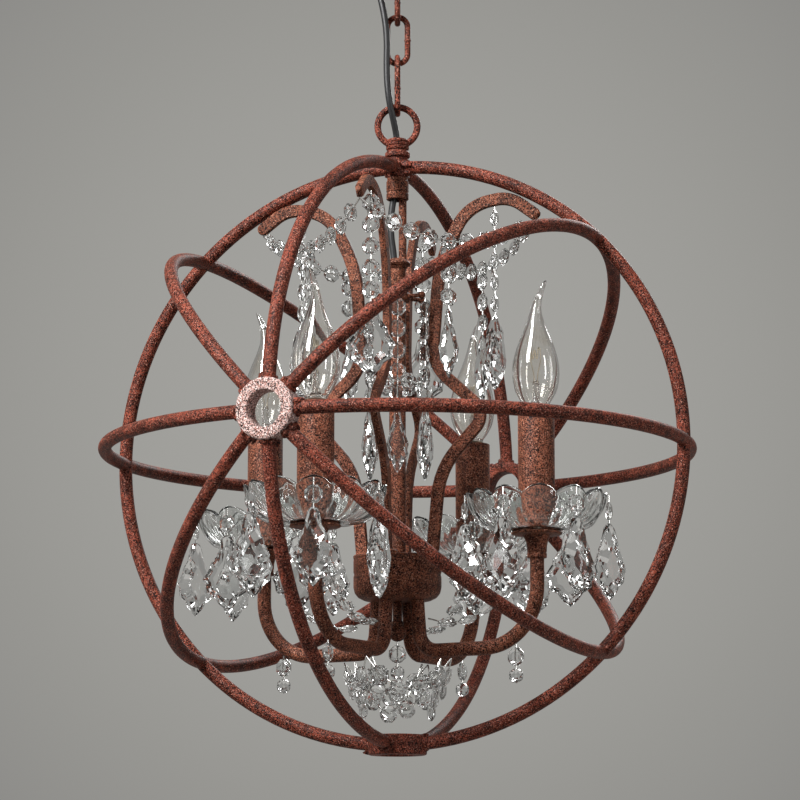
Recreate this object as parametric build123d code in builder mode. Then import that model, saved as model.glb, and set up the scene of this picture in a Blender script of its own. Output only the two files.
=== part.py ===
"""Orb chandelier: a round cage of iron bars hung on a chain, with a four-candle crystal chandelier inside.

Frame: the origin is the middle of the ceiling screws, in the plane of the ceiling. +Z is up, so the whole
light hangs below zero. The front of the light is -Y. Lengths are in millimetres, angles in degrees.
"""

import os
from math import cos, pi, radians, sin, tan

from build123d import *

# ------------------------------------------------------------------------------------------------
# Driving dimensions
# ------------------------------------------------------------------------------------------------

# Fits shared by all pieces
seat = 0.05  # gap left between two faces that are welded, screwed or stood on each other
slip = 0.10  # radial gap of a rod or stem in its hole
free = 0.30  # gap between pieces that move past each other

# Ceiling plate and canopy
strap_length = 92.0
strap_width = 22.0
strap_thickness = 2.0
strap_foot = 18.0  # length of each raised end that lies on the ceiling
strap_drop = 11.0  # height of the raised ends
ceiling_screw_spacing = 76.0
ceiling_screw_radius = 2.6
canopy_radius = 58.0
canopy_depth = 30.0
canopy_wall = 1.2
canopy_round = 9.0

# Canopy loop and its nut
eye_stem_radius = 5.0
eye_stem_rise = 23.0  # how far the stem reaches above the underside of the canopy
eye_collar_radius = 8.0
eye_collar_height = 5.0
eye_radius = 11.0  # to the middle of the wire
eye_wire = 5.0
eye_sunk = 1.5  # how deep the ring is let into its collar
eye_nut_flats = 17.0
eye_nut_height = 5.5

# Cable
cable_diameter = 5.0
cable_side = 8.0  # where the cable hangs beside the chain, towards -X
cable_front = 6.5  # and in front of it, towards -Y
bush_x = -19.0  # where the cable leaves the canopy
bush_radius = 6.0
bush_flange = 8.0
bush_flange_thickness = 1.8
bush_neck = 5.0
bush_bore_slip = 0.15

# Chain: two plain links, and a longer one at the bottom
link_wire = 4.5
link_width = 20.0
link_length = 41.5
long_link_length = 49.0

# Top loop of the orb
loop_radius = 15.15  # to the middle of the wire
loop_wire = 5.2
loop_sunk = 5.0  # how deep the ring is let into its knuckle
knuckle_radius = 9.0
knuckle_height = 9.0
knuckle_groove = 0.9
loop_stem_radius = 5.0
loop_stem_past_hub = 6.0
wireway_radius = 3.5
loop_collar_radius = 9.6
loop_collar_height = 5.5

# Cage
cage_radius = 220.0  # to the middle of the bars
bar_diameter = 10.0
hub_radius = 22.0
hub_bore_radius = 13.2
hub_length = 15.0
hub_chamfer = 0.8
top_hub_radius = 8.0
top_hub_height = 16.0
hub_turn = 24.0  # how far the front hub is turned from -Y towards -X
cross_ring_skew = 7.0  # how far the cross ring is turned back from square to the hubs
diagonal_lean = 45.0

# Hanger inside the cage
coupling_radius = 8.5
coupling_height = 17.0
coupling_thread = 8.0
coupling_bore_radius = 7.0
rod_diameter = 6.0
rod_top_in_coupling = 5.0  # how far the rod's top stands below the step of the bore
cable_inside_offset = 2.5  # towards -X
cable_hole_slip = 0.8
cap_radius = 10.0
cap_height = 8.0
cap_top_below_crown = 71.0  # from the top of the cage's bar circle down to the column cap
rod_in_cap = 5.0

# Column, crystal spider, bowl
column_diameter = 12.8
column_wall = 1.0
spider_below_cap = 27.0
spider_hub_radius = 10.0
spider_hub_height = 6.0
spider_reach = 24.0
spider_peg_radius = 1.6
spider_ball_radius = 2.8
spider_turn = 30.0  # azimuth of the first peg
bowl_radius = 33.0
bowl_depth = 33.0
bowl_wall = 1.5
bowl_round = 7.0
lid_thickness = 2.0
bowl_top_below_centre = 79.5
finial_stem_radius = 3.5
finial_stem_length = 24.0
finial_ball_radius = 6.5
finial_waist_radius = 5.0

# Scroll arms
scroll_width = 9.4  # of the flat bar, across the bends
scroll_thickness = 5.0
scroll_turn = -15.0  # azimuth of the first scroll arm
scroll_count = 4
scroll_foot_radius = 27.0

# Candle arms
arm_count = 4
candle_turn = -30.0  # azimuth of the first candle arm
candle_circle_radius = 118.0
arm_diameter = 10.5
arm_bore_diameter = 7.5
arm_start_radius = 17.0
arm_dip = 151.0  # below the middle of the cage
arm_inner_bend = 15.0
arm_outer_bend = 44.0

# Drip pan, glass dish, sleeve, lampholder
pan_radius = 18.5
pan_thickness = 2.0
pan_below_centre = 68.0
pan_neck_top_radius = 10.0
pan_neck_bottom_radius = 7.2
pan_neck_length = 17.0
arm_in_pan = 9.0
dish_radius = 52.0
dish_depth = 29.0
dish_wall = 4.0
dish_floor_radius = 19.0
dish_bore_radius = 6.0
dish_petals = 12
dish_petal_depth = 6.0
sleeve_diameter = 27.0
sleeve_wall = 1.2
sleeve_length = 85.0
sleeve_lip = 2.0
holder_radius = 10.5
holder_flange_height = 3.0
holder_stem_radius = 4.9
holder_below_sleeve_top = 4.0
holder_socket_depth = 27.0

# Bulb: tailed candle with an E14 cap
bulb_radius = 17.5
bulb_cap_radius = 6.9
bulb_cap_length = 21.0
bulb_glass_above_holder = 6.0
bulb_glass_height = 96.0
bulb_neck_radius = 8.2
bulb_tail_radius = 2.2
bulb_tail_reach = 9.5

# Wiring
terminal_radius = 9.0
terminal_height = 13.0
lead_diameter = 3.0
lead_bend = 5.0
lead_above_floor = 7.5

# Crystals
bead_flats = 13.0  # across the flats of an octagon bead
bead_thickness = 5.0
bead_facet = 28.0  # slope of the cut faces
bead_pitch = 16.5
wire_diameter = 1.2
drop_width = 38.0
drop_length = 57.0
drop_thickness = 12.0
drop_hook = 2.0  # how far under the rim a drop's wire starts
dish_bead_drop = 12.0  # from there to the middle of the bead
drop_table_share = 0.4  # size of the flat face of a drop, as a share of its outline
drop_table_middle = 0.55  # how far down a drop the middle of that face lies
slim_drop_width = 17.0
slim_drop_length = 52.0
slim_drop_thickness = 9.0
ball_radius = 5.5
first_bead_drop = 9.0  # from the top of a strand to the middle of its first bead
wire_gap = 2.0  # bare wire between a bead and a drop
wire_in_drop = 1.5
strand_radius = 76.0  # where the strands hang under the scroll arches
strand_hang_height = 185.2
strand_beads = 5
swag_sag = 24.0
swag_strand_beads = 3
column_strand_beads = 5
collar_beads = 6
collar_bead_circle = 16.5
collar_bead_height = 52.0
drop_turns = [-40.0, 15.0, -20.0, 40.0, -15.0, 20.0]  # how far each hanging drop has turned from the rim
garland_end_radius = 26.5
garland_end_below = 127.0
garland_sag = 20.0
under_arm_radius = 100.0
under_arm_below = 149.4
bottom_loops = [(46.0, 24.0), (37.0, 38.0)]  # distance of the ends from the axis, and sag

# ------------------------------------------------------------------------------------------------
# Levels and places worked out from those
# ------------------------------------------------------------------------------------------------

eye_collar_top = -canopy_depth
eye_centre = eye_collar_top - eye_collar_height - eye_radius + eye_sunk
eye_bottom = eye_centre - eye_radius

contact_link_on_eye = (eye_wire + link_wire) / 2 + free
contact_link_on_link = link_wire + free
contact_loop_on_link = (loop_wire + link_wire) / 2 + free

link_1_top = eye_bottom + contact_link_on_eye
link_1_bottom = link_1_top - (link_length - link_wire)
link_2_top = link_1_bottom + contact_link_on_link
link_2_bottom = link_2_top - (link_length - link_wire)
link_3_top = link_2_bottom + contact_link_on_link
link_3_bottom = link_3_top - (long_link_length - link_wire)
loop_centre = link_3_bottom + contact_loop_on_link - loop_radius

knuckle_top = loop_centre - loop_radius + loop_sunk
knuckle_bottom = knuckle_top - knuckle_height
loop_collar_top = knuckle_bottom - seat
loop_collar_bottom = loop_collar_top - loop_collar_height
top_hub_top = loop_collar_bottom - seat
cage_top = top_hub_top - top_hub_height / 2
top_hub_bottom = cage_top - top_hub_height / 2
cage_z = cage_top - cage_radius

coupling_top = top_hub_bottom - seat
coupling_bottom = coupling_top - coupling_height
rod_top = coupling_top - coupling_thread - rod_top_in_coupling
rod_offset = coupling_bore_radius - rod_diameter / 2 - seat  # towards +X, welded to the bore
cap_top = cage_top - cap_top_below_crown
cap_bottom = cap_top - cap_height
column_top = cap_bottom - seat
lid_top = cage_z - bowl_top_below_centre
column_bottom = lid_top + seat
bowl_top = lid_top - lid_thickness - seat
bowl_bottom = bowl_top - bowl_depth + lid_thickness
spider_top = cap_top - spider_below_cap
pan_top = cage_z - pan_below_centre
pan_bottom = pan_top - pan_thickness
neck_bottom = pan_bottom - pan_neck_length
arm_end = neck_bottom + arm_in_pan
dish_bottom = pan_top + free
dish_floor = dish_bottom + dish_wall
dish_rim = dish_bottom + dish_depth
sleeve_bottom = dish_floor + free
sleeve_top = sleeve_bottom + sleeve_length
sleeve_bore_radius = sleeve_diameter / 2 - sleeve_wall
holder_top = sleeve_top - holder_below_sleeve_top
socket_radius = bulb_cap_radius + free
glass_bottom = holder_top + bulb_glass_above_holder
bar_radius = bar_diameter / 2
wire_radius = wire_diameter / 2
bead_radius = bead_flats / 2 / cos(radians(22.5))

# Scroll arm: corners of its bend line, as distance from the axis and height above the middle of the cage
scroll_corners = [
    (scroll_foot_radius, -bowl_top_below_centre),
    (33.0, -14.0),
    (70.0, 27.0),
    (27.0, 66.0),
    (33.0, 144.0),
    (55.0, 187.0),
    (88.0, 192.5),
    (107.0, 178.0),
]
scroll_bends = [60.0, 14.0, 34.0, 105.0, 34.0, 26.0]

# ------------------------------------------------------------------------------------------------
# Shared geometry
# ------------------------------------------------------------------------------------------------


def azimuth_plane(azimuth, level=0.0, distance=0.0):
    """Upright plane through the axis: local X runs outwards at the azimuth, local Y runs up."""
    a = radians(azimuth)
    return Plane(
        origin=(distance * cos(a), distance * sin(a), level),
        x_dir=(cos(a), sin(a), 0),
        z_dir=(sin(a), -cos(a), 0),
    )


def turned_frame(azimuth, distance, level):
    """Level plane at a place round the axis, with its local X pointing outwards."""
    a = radians(azimuth)
    return Plane(
        origin=(distance * cos(a), distance * sin(a), level),
        x_dir=(cos(a), sin(a), 0),
        z_dir=(0, 0, 1),
    )


def place_round(azimuth, distance, level):
    """Point at an azimuth, a distance from the axis and a level."""
    a = radians(azimuth)
    return Vector(distance * cos(a), distance * sin(a), level)


def corner_radii(points, share=0.45):
    """Largest easy bend radius at each inner corner of a route."""
    radii = []
    for before, corner, after in zip(points, points[1:], points[2:]):
        run_in = Vector(*corner) - Vector(*before)
        run_out = Vector(*after) - Vector(*corner)
        turn = radians(run_in.get_angle(run_out))
        radii.append(share * min(run_in.length, run_out.length) / tan(turn / 2))
    return radii


def sagging_points(start, end, sag, pitch):
    """Evenly spaced bead places on a strand that hangs from start to end."""
    samples = 200
    curve = []
    for step in range(samples + 1):
        t = step / samples
        point = start + (end - start) * t
        curve.append(point - Vector(0, 0, 4 * sag * t * (1 - t)))
    lengths = [0.0]
    for before, after in zip(curve, curve[1:]):
        lengths.append(lengths[-1] + (after - before).length)
    count = max(2, round(lengths[-1] / pitch))
    places = []
    for number in range(count + 1):
        goal = lengths[-1] * number / count
        index = min(range(samples + 1), key=lambda i: abs(lengths[i] - goal))
        places.append(curve[index])
    return places


def strand_frames(places):
    """Planes of the beads and of the wire pieces between them, for one strand."""
    wires = []
    beads = []
    for number, (before, after) in enumerate(zip(places, places[1:])):
        along = (after - before).normalized()
        wires.append((Plane(origin=before, z_dir=along), (after - before).length))
        if number > 0:
            beads.append(bead_frame(before, after - places[number - 1]))
    return beads, wires


def bead_frame(place, along):
    """Plane of one bead: its flat faces look out from the axis and its strand runs along local X."""
    along = along.normalized()
    outwards = Vector(place.X, place.Y, 0)
    if outwards.length < 1.0:
        outwards = Vector(0, -1, 0)
    face = outwards - along * outwards.dot(along)
    if face.length < 0.1:
        face = Vector(0, 0, 1)
    return Plane(origin=place, x_dir=along, z_dir=face.normalized())


# ------------------------------------------------------------------------------------------------
# Ceiling plate, canopy, loop and bush
# ------------------------------------------------------------------------------------------------

half_strap = strap_length / 2
with BuildPart() as ceiling_strap:
    with BuildSketch(Plane.XZ) as strap_side:
        with BuildLine():
            Polyline(
                (-half_strap, 0),
                (-half_strap + strap_foot, 0),
                (-half_strap + strap_foot, -strap_drop),
                (half_strap - strap_foot, -strap_drop),
                (half_strap - strap_foot, 0),
                (half_strap, 0),
                (half_strap, -strap_thickness),
                (half_strap - strap_foot + strap_thickness, -strap_thickness),
                (half_strap - strap_foot + strap_thickness, -strap_drop - strap_thickness),
                (-half_strap + strap_foot - strap_thickness, -strap_drop - strap_thickness),
                (-half_strap + strap_foot - strap_thickness, -strap_thickness),
                (-half_strap, -strap_thickness),
                close=True,
            )
        make_face()
    extrude(amount=strap_width / 2, both=True)
    with BuildSketch(Plane.XY):
        with GridLocations(ceiling_screw_spacing, 0, 2, 1):
            Circle(ceiling_screw_radius)
    extrude(amount=-strap_thickness, mode=Mode.SUBTRACT)
    with BuildSketch(Plane.XY):
        Circle(eye_stem_radius + slip)
        with Locations((bush_x, 0)):
            Circle(cable_diameter / 2 + 1.5)
    extrude(amount=-strap_drop - strap_thickness, mode=Mode.SUBTRACT)
ceiling_strap.part.label = "ceiling_strap"

with BuildPart() as canopy:
    with BuildSketch(Plane.XY):
        Circle(canopy_radius)
    extrude(amount=-canopy_depth)
    fillet(canopy.faces().sort_by(Axis.Z)[0].edges(), canopy_round)
    offset(amount=-canopy_wall, openings=canopy.faces().sort_by(Axis.Z)[-1])
    with BuildSketch(Plane.XY.offset(-canopy_depth)):
        Circle(eye_stem_radius + slip)
        with Locations((bush_x, 0)):
            Circle(bush_radius + slip)
    extrude(amount=canopy_wall, mode=Mode.SUBTRACT)
canopy.part.label = "canopy"

with BuildPart() as canopy_loop:
    with BuildSketch(Plane.XY.offset(eye_collar_top - seat)):
        Circle(eye_collar_radius)
    extrude(amount=-eye_collar_height)
    chamfer(canopy_loop.faces().sort_by(Axis.Z)[0].edges(), 1.5)
    with BuildSketch(Plane.XY.offset(eye_collar_top - seat)):
        Circle(eye_stem_radius)
    extrude(amount=eye_stem_rise)
    with Locations(Plane(origin=(0, 0, eye_centre), z_dir=(0, 1, 0))):
        Torus(eye_radius, eye_wire / 2)
canopy_loop.part.label = "canopy_loop"

nut_bottom = -strap_drop + seat
with BuildPart() as canopy_loop_nut:
    with BuildSketch(Plane.XY.offset(nut_bottom)):
        RegularPolygon(eye_nut_flats / 2, 6, major_radius=False)
        Circle(eye_stem_radius + slip, mode=Mode.SUBTRACT)
    extrude(amount=eye_nut_height)
canopy_loop_nut.part.label = "canopy_loop_nut"

with BuildPart() as cable_bush:
    with BuildSketch(Plane.XY.offset(-canopy_depth - seat)):
        with Locations((bush_x, 0)):
            Circle(bush_flange)
    extrude(amount=-bush_flange_thickness)
    with BuildSketch(Plane.XY.offset(-canopy_depth - seat)):
        with Locations((bush_x, 0)):
            Circle(bush_radius)
    extrude(amount=bush_neck)
    with BuildSketch(Plane.XY.offset(-canopy_depth - seat - bush_flange_thickness)):
        with Locations((bush_x, 0)):
            Circle(cable_diameter / 2 + bush_bore_slip)
    extrude(amount=bush_neck + bush_flange_thickness, mode=Mode.SUBTRACT)
cable_bush.part.label = "cable_bush"

# ------------------------------------------------------------------------------------------------
# Chain links
# ------------------------------------------------------------------------------------------------


def build_link(label, plane, length):
    """One welded link: round wire bent to a long ring, lying in the given upright plane."""
    end_radius = (link_width - link_wire) / 2
    with BuildPart() as link:
        with BuildLine(plane):
            half_leg = (length - link_width) / 2
            left = Line((-end_radius, -half_leg), (-end_radius, half_leg))
            top = ThreePointArc(left @ 1, (0, half_leg + end_radius), (end_radius, half_leg))
            right = Line(top @ 1, (end_radius, -half_leg))
            ThreePointArc(right @ 1, (0, -half_leg - end_radius), left @ 0)
        with BuildSketch(Plane(origin=left @ 0, z_dir=left % 0)):
            Circle(link_wire / 2)
        sweep()
    link.part.label = label
    return link


def link_plane(top_level, length, turned):
    """Plane of a link whose top bend is centred on the given level."""
    middle = top_level - (length - link_wire) / 2
    if turned:
        return Plane(origin=(0, 0, middle), x_dir=(0, 1, 0), z_dir=(1, 0, 0))
    return Plane(origin=(0, 0, middle), x_dir=(1, 0, 0), z_dir=(0, -1, 0))


links = [
    build_link("chain_link_1", link_plane(link_1_top, link_length, True), link_length),
    build_link("chain_link_2", link_plane(link_2_top, link_length, False), link_length),
    build_link("chain_link_3", link_plane(link_3_top, long_link_length, True), long_link_length),
]

# ------------------------------------------------------------------------------------------------
# Top loop, its collar, and the hubs
# ------------------------------------------------------------------------------------------------

loop_stem_end = top_hub_bottom - loop_stem_past_hub
with BuildPart() as top_loop:
    with Locations(Plane(origin=(0, 0, loop_centre), z_dir=(0, 1, 0))):
        Torus(loop_radius, loop_wire / 2)
    with BuildSketch(Plane.XY.offset(knuckle_bottom)):
        Circle(knuckle_radius)
    extrude(amount=knuckle_height)
    with BuildSketch(Plane.XY.offset(knuckle_bottom)):
        Circle(knuckle_radius)
        Circle(knuckle_radius - knuckle_groove, mode=Mode.SUBTRACT)
    extrude(amount=knuckle_groove, mode=Mode.SUBTRACT)
    with BuildSketch(Plane.XY.offset(loop_stem_end)):
        Circle(loop_stem_radius)
    extrude(amount=knuckle_bottom - loop_stem_end)
    with BuildSketch(Plane.XY.offset(loop_stem_end)):
        Circle(wireway_radius)
    extrude(amount=knuckle_top - loop_stem_end, mode=Mode.SUBTRACT)
top_loop.part.label = "top_loop"

with BuildPart() as loop_collar:
    with BuildSketch(Plane.XY.offset(loop_collar_bottom)):
        Circle(loop_collar_radius)
        Circle(loop_stem_radius + slip, mode=Mode.SUBTRACT)
    extrude(amount=loop_collar_height)
    fillet(loop_collar.edges().filter_by(GeomType.CIRCLE).sort_by(SortBy.RADIUS)[-2:], 1.4)
loop_collar.part.label = "loop_collar"

with BuildPart() as top_hub:
    with BuildSketch(Plane.XY.offset(top_hub_bottom)):
        Circle(top_hub_radius)
        Circle(loop_stem_radius + slip, mode=Mode.SUBTRACT)
    extrude(amount=top_hub_height)
top_hub.part.label = "top_hub"


hub_azimuth = 270.0 - hub_turn
front_hub_plane = Plane(
    origin=place_round(hub_azimuth, cage_radius, cage_z), z_dir=place_round(hub_azimuth, 1, 0)
)
back_hub_plane = Plane(
    origin=place_round(hub_azimuth + 180, cage_radius, cage_z), z_dir=place_round(hub_azimuth, 1, 0)
)
bottom_hub_plane = Plane(origin=(0, 0, cage_z - cage_radius), z_dir=(0, 0, 1))
with BuildPart() as cage_hubs:
    for plane in (front_hub_plane, back_hub_plane, bottom_hub_plane):
        with BuildSketch(plane):
            Circle(hub_radius)
            Circle(hub_bore_radius, mode=Mode.SUBTRACT)
        extrude(amount=hub_length / 2, both=True)
    chamfer(cage_hubs.edges().filter_by(GeomType.CIRCLE), hub_chamfer)
cage_hubs.part.label = "cage_hubs"

# ------------------------------------------------------------------------------------------------
# Cage bars: each hub ring is cut where it meets a hub or the cross ring, and welded there
# ------------------------------------------------------------------------------------------------

cross_azimuth = hub_azimuth + 90.0 + cross_ring_skew
cross_plane = azimuth_plane(cross_azimuth, cage_z)
with BuildPart() as cross_ring_room:
    with BuildSketch(cross_plane):
        Circle(cage_radius + bar_diameter)
    extrude(amount=bar_radius + seat, both=True)
with BuildPart() as hub_room:
    for plane in (front_hub_plane, back_hub_plane, bottom_hub_plane):
        with BuildSketch(plane):
            Circle(hub_radius + seat)
        extrude(amount=bar_diameter, both=True)
    with BuildSketch(Plane.XY.offset(top_hub_bottom)):
        Circle(top_hub_radius + seat)
    extrude(amount=top_hub_height)


def build_ring(label, plane, room):
    """One circle of round bar, cut away from the pieces that it is welded to."""
    with BuildPart() as ring:
        with Locations(plane):
            Torus(cage_radius, bar_radius)
        for piece in room:
            add(piece.part, mode=Mode.SUBTRACT)
    ring.part.label = label
    return ring


def hub_ring_plane(lean):
    """Plane of a ring through the front and back hubs, leaned about the line between them."""
    side = place_round(hub_azimuth + 90, 1, 0)
    normal = side * sin(radians(lean)) + Vector(0, 0, cos(radians(lean)))
    return Plane(origin=(0, 0, cage_z), x_dir=place_round(hub_azimuth, 1, 0), z_dir=normal)


rings = [
    build_ring("equator_ring", hub_ring_plane(0), [hub_room, cross_ring_room]),
    build_ring("upright_ring", hub_ring_plane(90), [hub_room]),
    build_ring("diagonal_ring_a", hub_ring_plane(diagonal_lean), [hub_room, cross_ring_room]),
    build_ring("diagonal_ring_b", hub_ring_plane(-diagonal_lean), [hub_room, cross_ring_room]),
    build_ring("cross_ring", cross_plane, [hub_room]),
]

# ------------------------------------------------------------------------------------------------
# Hanger, column, spider, bowl
# ------------------------------------------------------------------------------------------------

with BuildPart() as hanger_coupling:
    with BuildSketch(Plane.XY.offset(coupling_bottom)):
        Circle(coupling_radius)
    extrude(amount=coupling_height)
    with BuildSketch(Plane.XY.offset(coupling_bottom)):
        Circle(loop_stem_radius + slip)
    extrude(amount=coupling_height, mode=Mode.SUBTRACT)
    with BuildSketch(Plane.XY.offset(coupling_bottom)):
        Circle(coupling_bore_radius)
    extrude(amount=coupling_height - coupling_thread, mode=Mode.SUBTRACT)
hanger_coupling.part.label = "hanger_coupling"

rod_bottom = cap_top - rod_in_cap + seat
with BuildPart() as hanger_rod:
    with BuildSketch(Plane.XY.offset(rod_bottom)):
        with Locations((rod_offset, 0)):
            Circle(rod_diameter / 2)
    extrude(amount=rod_top - rod_bottom)
hanger_rod.part.label = "hanger_rod"

with BuildPart() as column_cap:
    with BuildSketch(Plane.XY.offset(cap_bottom)):
        Circle(cap_radius)
    extrude(amount=cap_height)
    fillet(column_cap.edges().filter_by(GeomType.CIRCLE), 1.2)
    with BuildSketch(Plane.XY.offset(cap_top)):
        with Locations((rod_offset, 0)):
            Circle(rod_diameter / 2 + slip)
    extrude(amount=-rod_in_cap, mode=Mode.SUBTRACT)
    with BuildSketch(Plane.XY.offset(cap_top)):
        with Locations((-cable_inside_offset, 0)):
            Circle(cable_diameter / 2 + cable_hole_slip)
    extrude(amount=-cap_height, mode=Mode.SUBTRACT)
column_cap.part.label = "column_cap"

column_radius = column_diameter / 2
with BuildPart() as column:
    with BuildSketch(Plane.XY.offset(column_bottom)):
        Circle(column_radius)
        Circle(column_radius - column_wall, mode=Mode.SUBTRACT)
    extrude(amount=column_top - column_bottom)
column.part.label = "column"

spider_azimuths = [spider_turn + 90 * number for number in range(4)]
with BuildPart() as crystal_spider:
    with BuildSketch(Plane.XY.offset(spider_top - spider_hub_height)):
        Circle(spider_hub_radius)
    extrude(amount=spider_hub_height)
    for azimuth in spider_azimuths:
        peg_level = spider_top - spider_hub_height / 2
        with Locations(Plane(origin=(0, 0, peg_level), z_dir=place_round(azimuth, 1, 0))):
            Cylinder(spider_peg_radius, spider_reach, align=(Align.CENTER, Align.CENTER, Align.MIN))
        with Locations(place_round(azimuth, spider_reach, peg_level)):
            Sphere(spider_ball_radius)
    with BuildSketch(Plane.XY.offset(spider_top - spider_hub_height)):
        Circle(column_radius + seat)
    extrude(amount=spider_hub_height, mode=Mode.SUBTRACT)
crystal_spider.part.label = "crystal_spider"

with BuildPart() as bowl_lid:
    with BuildSketch(Plane.XY.offset(lid_top)):
        Circle(bowl_radius)
        Circle(column_radius - column_wall, mode=Mode.SUBTRACT)
    extrude(amount=-lid_thickness)
    chamfer(bowl_lid.faces().sort_by(Axis.Z)[-1].edges().sort_by(SortBy.RADIUS)[-1], 0.8)
bowl_lid.part.label = "bowl_lid"

candle_azimuths = [candle_turn + 360 / arm_count * number for number in range(arm_count)]
with BuildPart() as bowl:
    with BuildSketch(Plane.XY.offset(bowl_bottom)):
        Circle(bowl_radius)
    extrude(amount=bowl_top - bowl_bottom)
    fillet(bowl.faces().sort_by(Axis.Z)[0].edges(), bowl_round)
    offset(amount=-bowl_wall, openings=bowl.faces().sort_by(Axis.Z)[-1])
    with BuildSketch(Plane.XY.offset(bowl_bottom)):
        with PolarLocations(arm_start_radius, arm_count, start_angle=candle_turn):
            Circle(arm_bore_diameter / 2)
    extrude(amount=bowl_wall, mode=Mode.SUBTRACT)
bowl.part.label = "bowl"

finial_top = bowl_bottom - seat
finial_ball_level = finial_top - finial_stem_length
with BuildPart() as bowl_finial:
    with BuildSketch(Plane.XY.offset(finial_top)):
        Circle(finial_waist_radius)
    extrude(amount=-finial_waist_radius / 2)
    with BuildSketch(Plane.XY.offset(finial_top)):
        Circle(finial_stem_radius)
    extrude(amount=-finial_stem_length)
    with Locations((0, 0, finial_ball_level)):
        Sphere(finial_ball_radius)
bowl_finial.part.label = "bowl_finial"

# ------------------------------------------------------------------------------------------------
# Scroll arms and candle arms
# ------------------------------------------------------------------------------------------------

scroll_azimuths = [scroll_turn + 360 / scroll_count * number for number in range(scroll_count)]


def build_scroll_arm(number, azimuth):
    """Flat bar on edge that stands on the bowl, swells out, draws in and opens to an arch at the top."""
    bend_plane = azimuth_plane(azimuth, cage_z)
    with BuildPart() as arm:
        with BuildLine(bend_plane) as bend_line:
            FilletPolyline(*scroll_corners, radius=scroll_bends)
        start = Plane(origin=bend_line.line @ 0, x_dir=bend_plane.z_dir, z_dir=bend_line.line % 0)
        with BuildSketch(start):
            Rectangle(scroll_thickness, scroll_width)
        sweep()
        with Locations(Plane(origin=bend_line.line @ 1, z_dir=bend_plane.z_dir).location):
            Cylinder(scroll_width / 2, scroll_thickness)
        with BuildSketch(Plane.XY.offset(lid_top + seat)):
            Circle(bowl_radius * 2)
        extrude(amount=-scroll_width, mode=Mode.SUBTRACT)
    arm.part.label = f"scroll_arm_{number}"
    return arm


scroll_arms = [
    build_scroll_arm(number, azimuth) for number, azimuth in enumerate(scroll_azimuths, start=1)
]

arm_start_level = bowl_bottom - seat
candle_route = [
    (arm_start_radius, arm_start_level - cage_z),
    (arm_start_radius + 3, -arm_dip),
    (candle_circle_radius, -arm_dip),
    (candle_circle_radius, arm_end - cage_z),
]


def build_candle_arm(number, azimuth):
    """J-shaped tube from the floor of the bowl to the neck of a drip pan."""
    with BuildPart() as arm:
        with BuildLine(azimuth_plane(azimuth, cage_z)) as bend_line:
            FilletPolyline(*candle_route, radius=[arm_inner_bend, arm_outer_bend])
        with BuildSketch(Plane(origin=bend_line.line @ 0, z_dir=bend_line.line % 0)):
            Circle(arm_diameter / 2)
            Circle(arm_bore_diameter / 2, mode=Mode.SUBTRACT)
        sweep()
        with BuildSketch(Plane.XY.offset(arm_start_level)):
            Circle(bowl_radius)
        extrude(amount=arm_diameter, mode=Mode.SUBTRACT)
    arm.part.label = f"candle_arm_{number}"
    return arm


candle_arms = [
    build_candle_arm(number, azimuth) for number, azimuth in enumerate(candle_azimuths, start=1)
]

# ------------------------------------------------------------------------------------------------
# Drip pans, glass dishes, sleeves, lampholders, bulbs
# ------------------------------------------------------------------------------------------------

with BuildPart() as drip_pans:
    for azimuth in candle_azimuths:
        with BuildSketch(azimuth_plane(azimuth, 0, candle_circle_radius)):
            with BuildLine():
                Polyline(
                    (holder_stem_radius + slip, pan_top),
                    (pan_radius, pan_top),
                    (pan_radius, pan_bottom),
                    (pan_neck_top_radius, pan_bottom),
                    (pan_neck_bottom_radius, neck_bottom + pan_neck_length / 2),
                    (pan_neck_bottom_radius, neck_bottom),
                    (arm_diameter / 2 + seat, neck_bottom),
                    (arm_diameter / 2 + seat, arm_end + seat),
                    (holder_stem_radius + slip, arm_end + seat),
                    close=True,
                )
            make_face()
        revolve(axis=Axis(place_round(azimuth, candle_circle_radius, 0), (0, 0, 1)))
drip_pans.part.label = "drip_pans"


def build_dish(number, azimuth):
    """Pressed glass dish with a wavy rim, standing on a drip pan."""
    frame = turned_frame(azimuth, candle_circle_radius, dish_rim)
    with BuildPart() as dish:
        with BuildSketch(azimuth_plane(azimuth, 0, candle_circle_radius)):
            with BuildLine():
                under = Polyline((dish_bore_radius, dish_bottom), (dish_floor_radius, dish_bottom))
                flare = ThreePointArc(
                    under @ 1,
                    (dish_radius * 0.80, dish_bottom + dish_depth * 0.32),
                    (dish_radius, dish_rim),
                )
                rim = Line(flare @ 1, (dish_radius - dish_wall, dish_rim))
                inside = ThreePointArc(
                    rim @ 1,
                    (dish_radius * 0.80 - dish_wall * 0.75, dish_floor + dish_depth * 0.30),
                    (dish_floor_radius - dish_wall / 2, dish_floor),
                )
                Polyline(inside @ 1, (dish_bore_radius, dish_floor), under @ 0)
            make_face()
        revolve(axis=Axis(place_round(azimuth, candle_circle_radius, 0), (0, 0, 1)))
        notch_radius = dish_radius * sin(radians(180 / dish_petals)) * 0.42
        for petal in range(dish_petals):
            angle = radians(azimuth) + radians(360 / dish_petals * (petal + 0.5))
            towards = Vector(cos(angle), sin(angle), 0)
            origin = frame.origin - Vector(0, 0, dish_petal_depth * 0.1)
            with Locations(Plane(origin=origin, z_dir=towards)):
                Cylinder(
                    notch_radius,
                    dish_radius * 1.2,
                    align=(Align.CENTER, Align.CENTER, Align.MIN),
                    mode=Mode.SUBTRACT,
                )
    dish.part.label = f"glass_dish_{number}"
    return dish


glass_dishes = [build_dish(number, azimuth) for number, azimuth in enumerate(candle_azimuths, start=1)]


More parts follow.
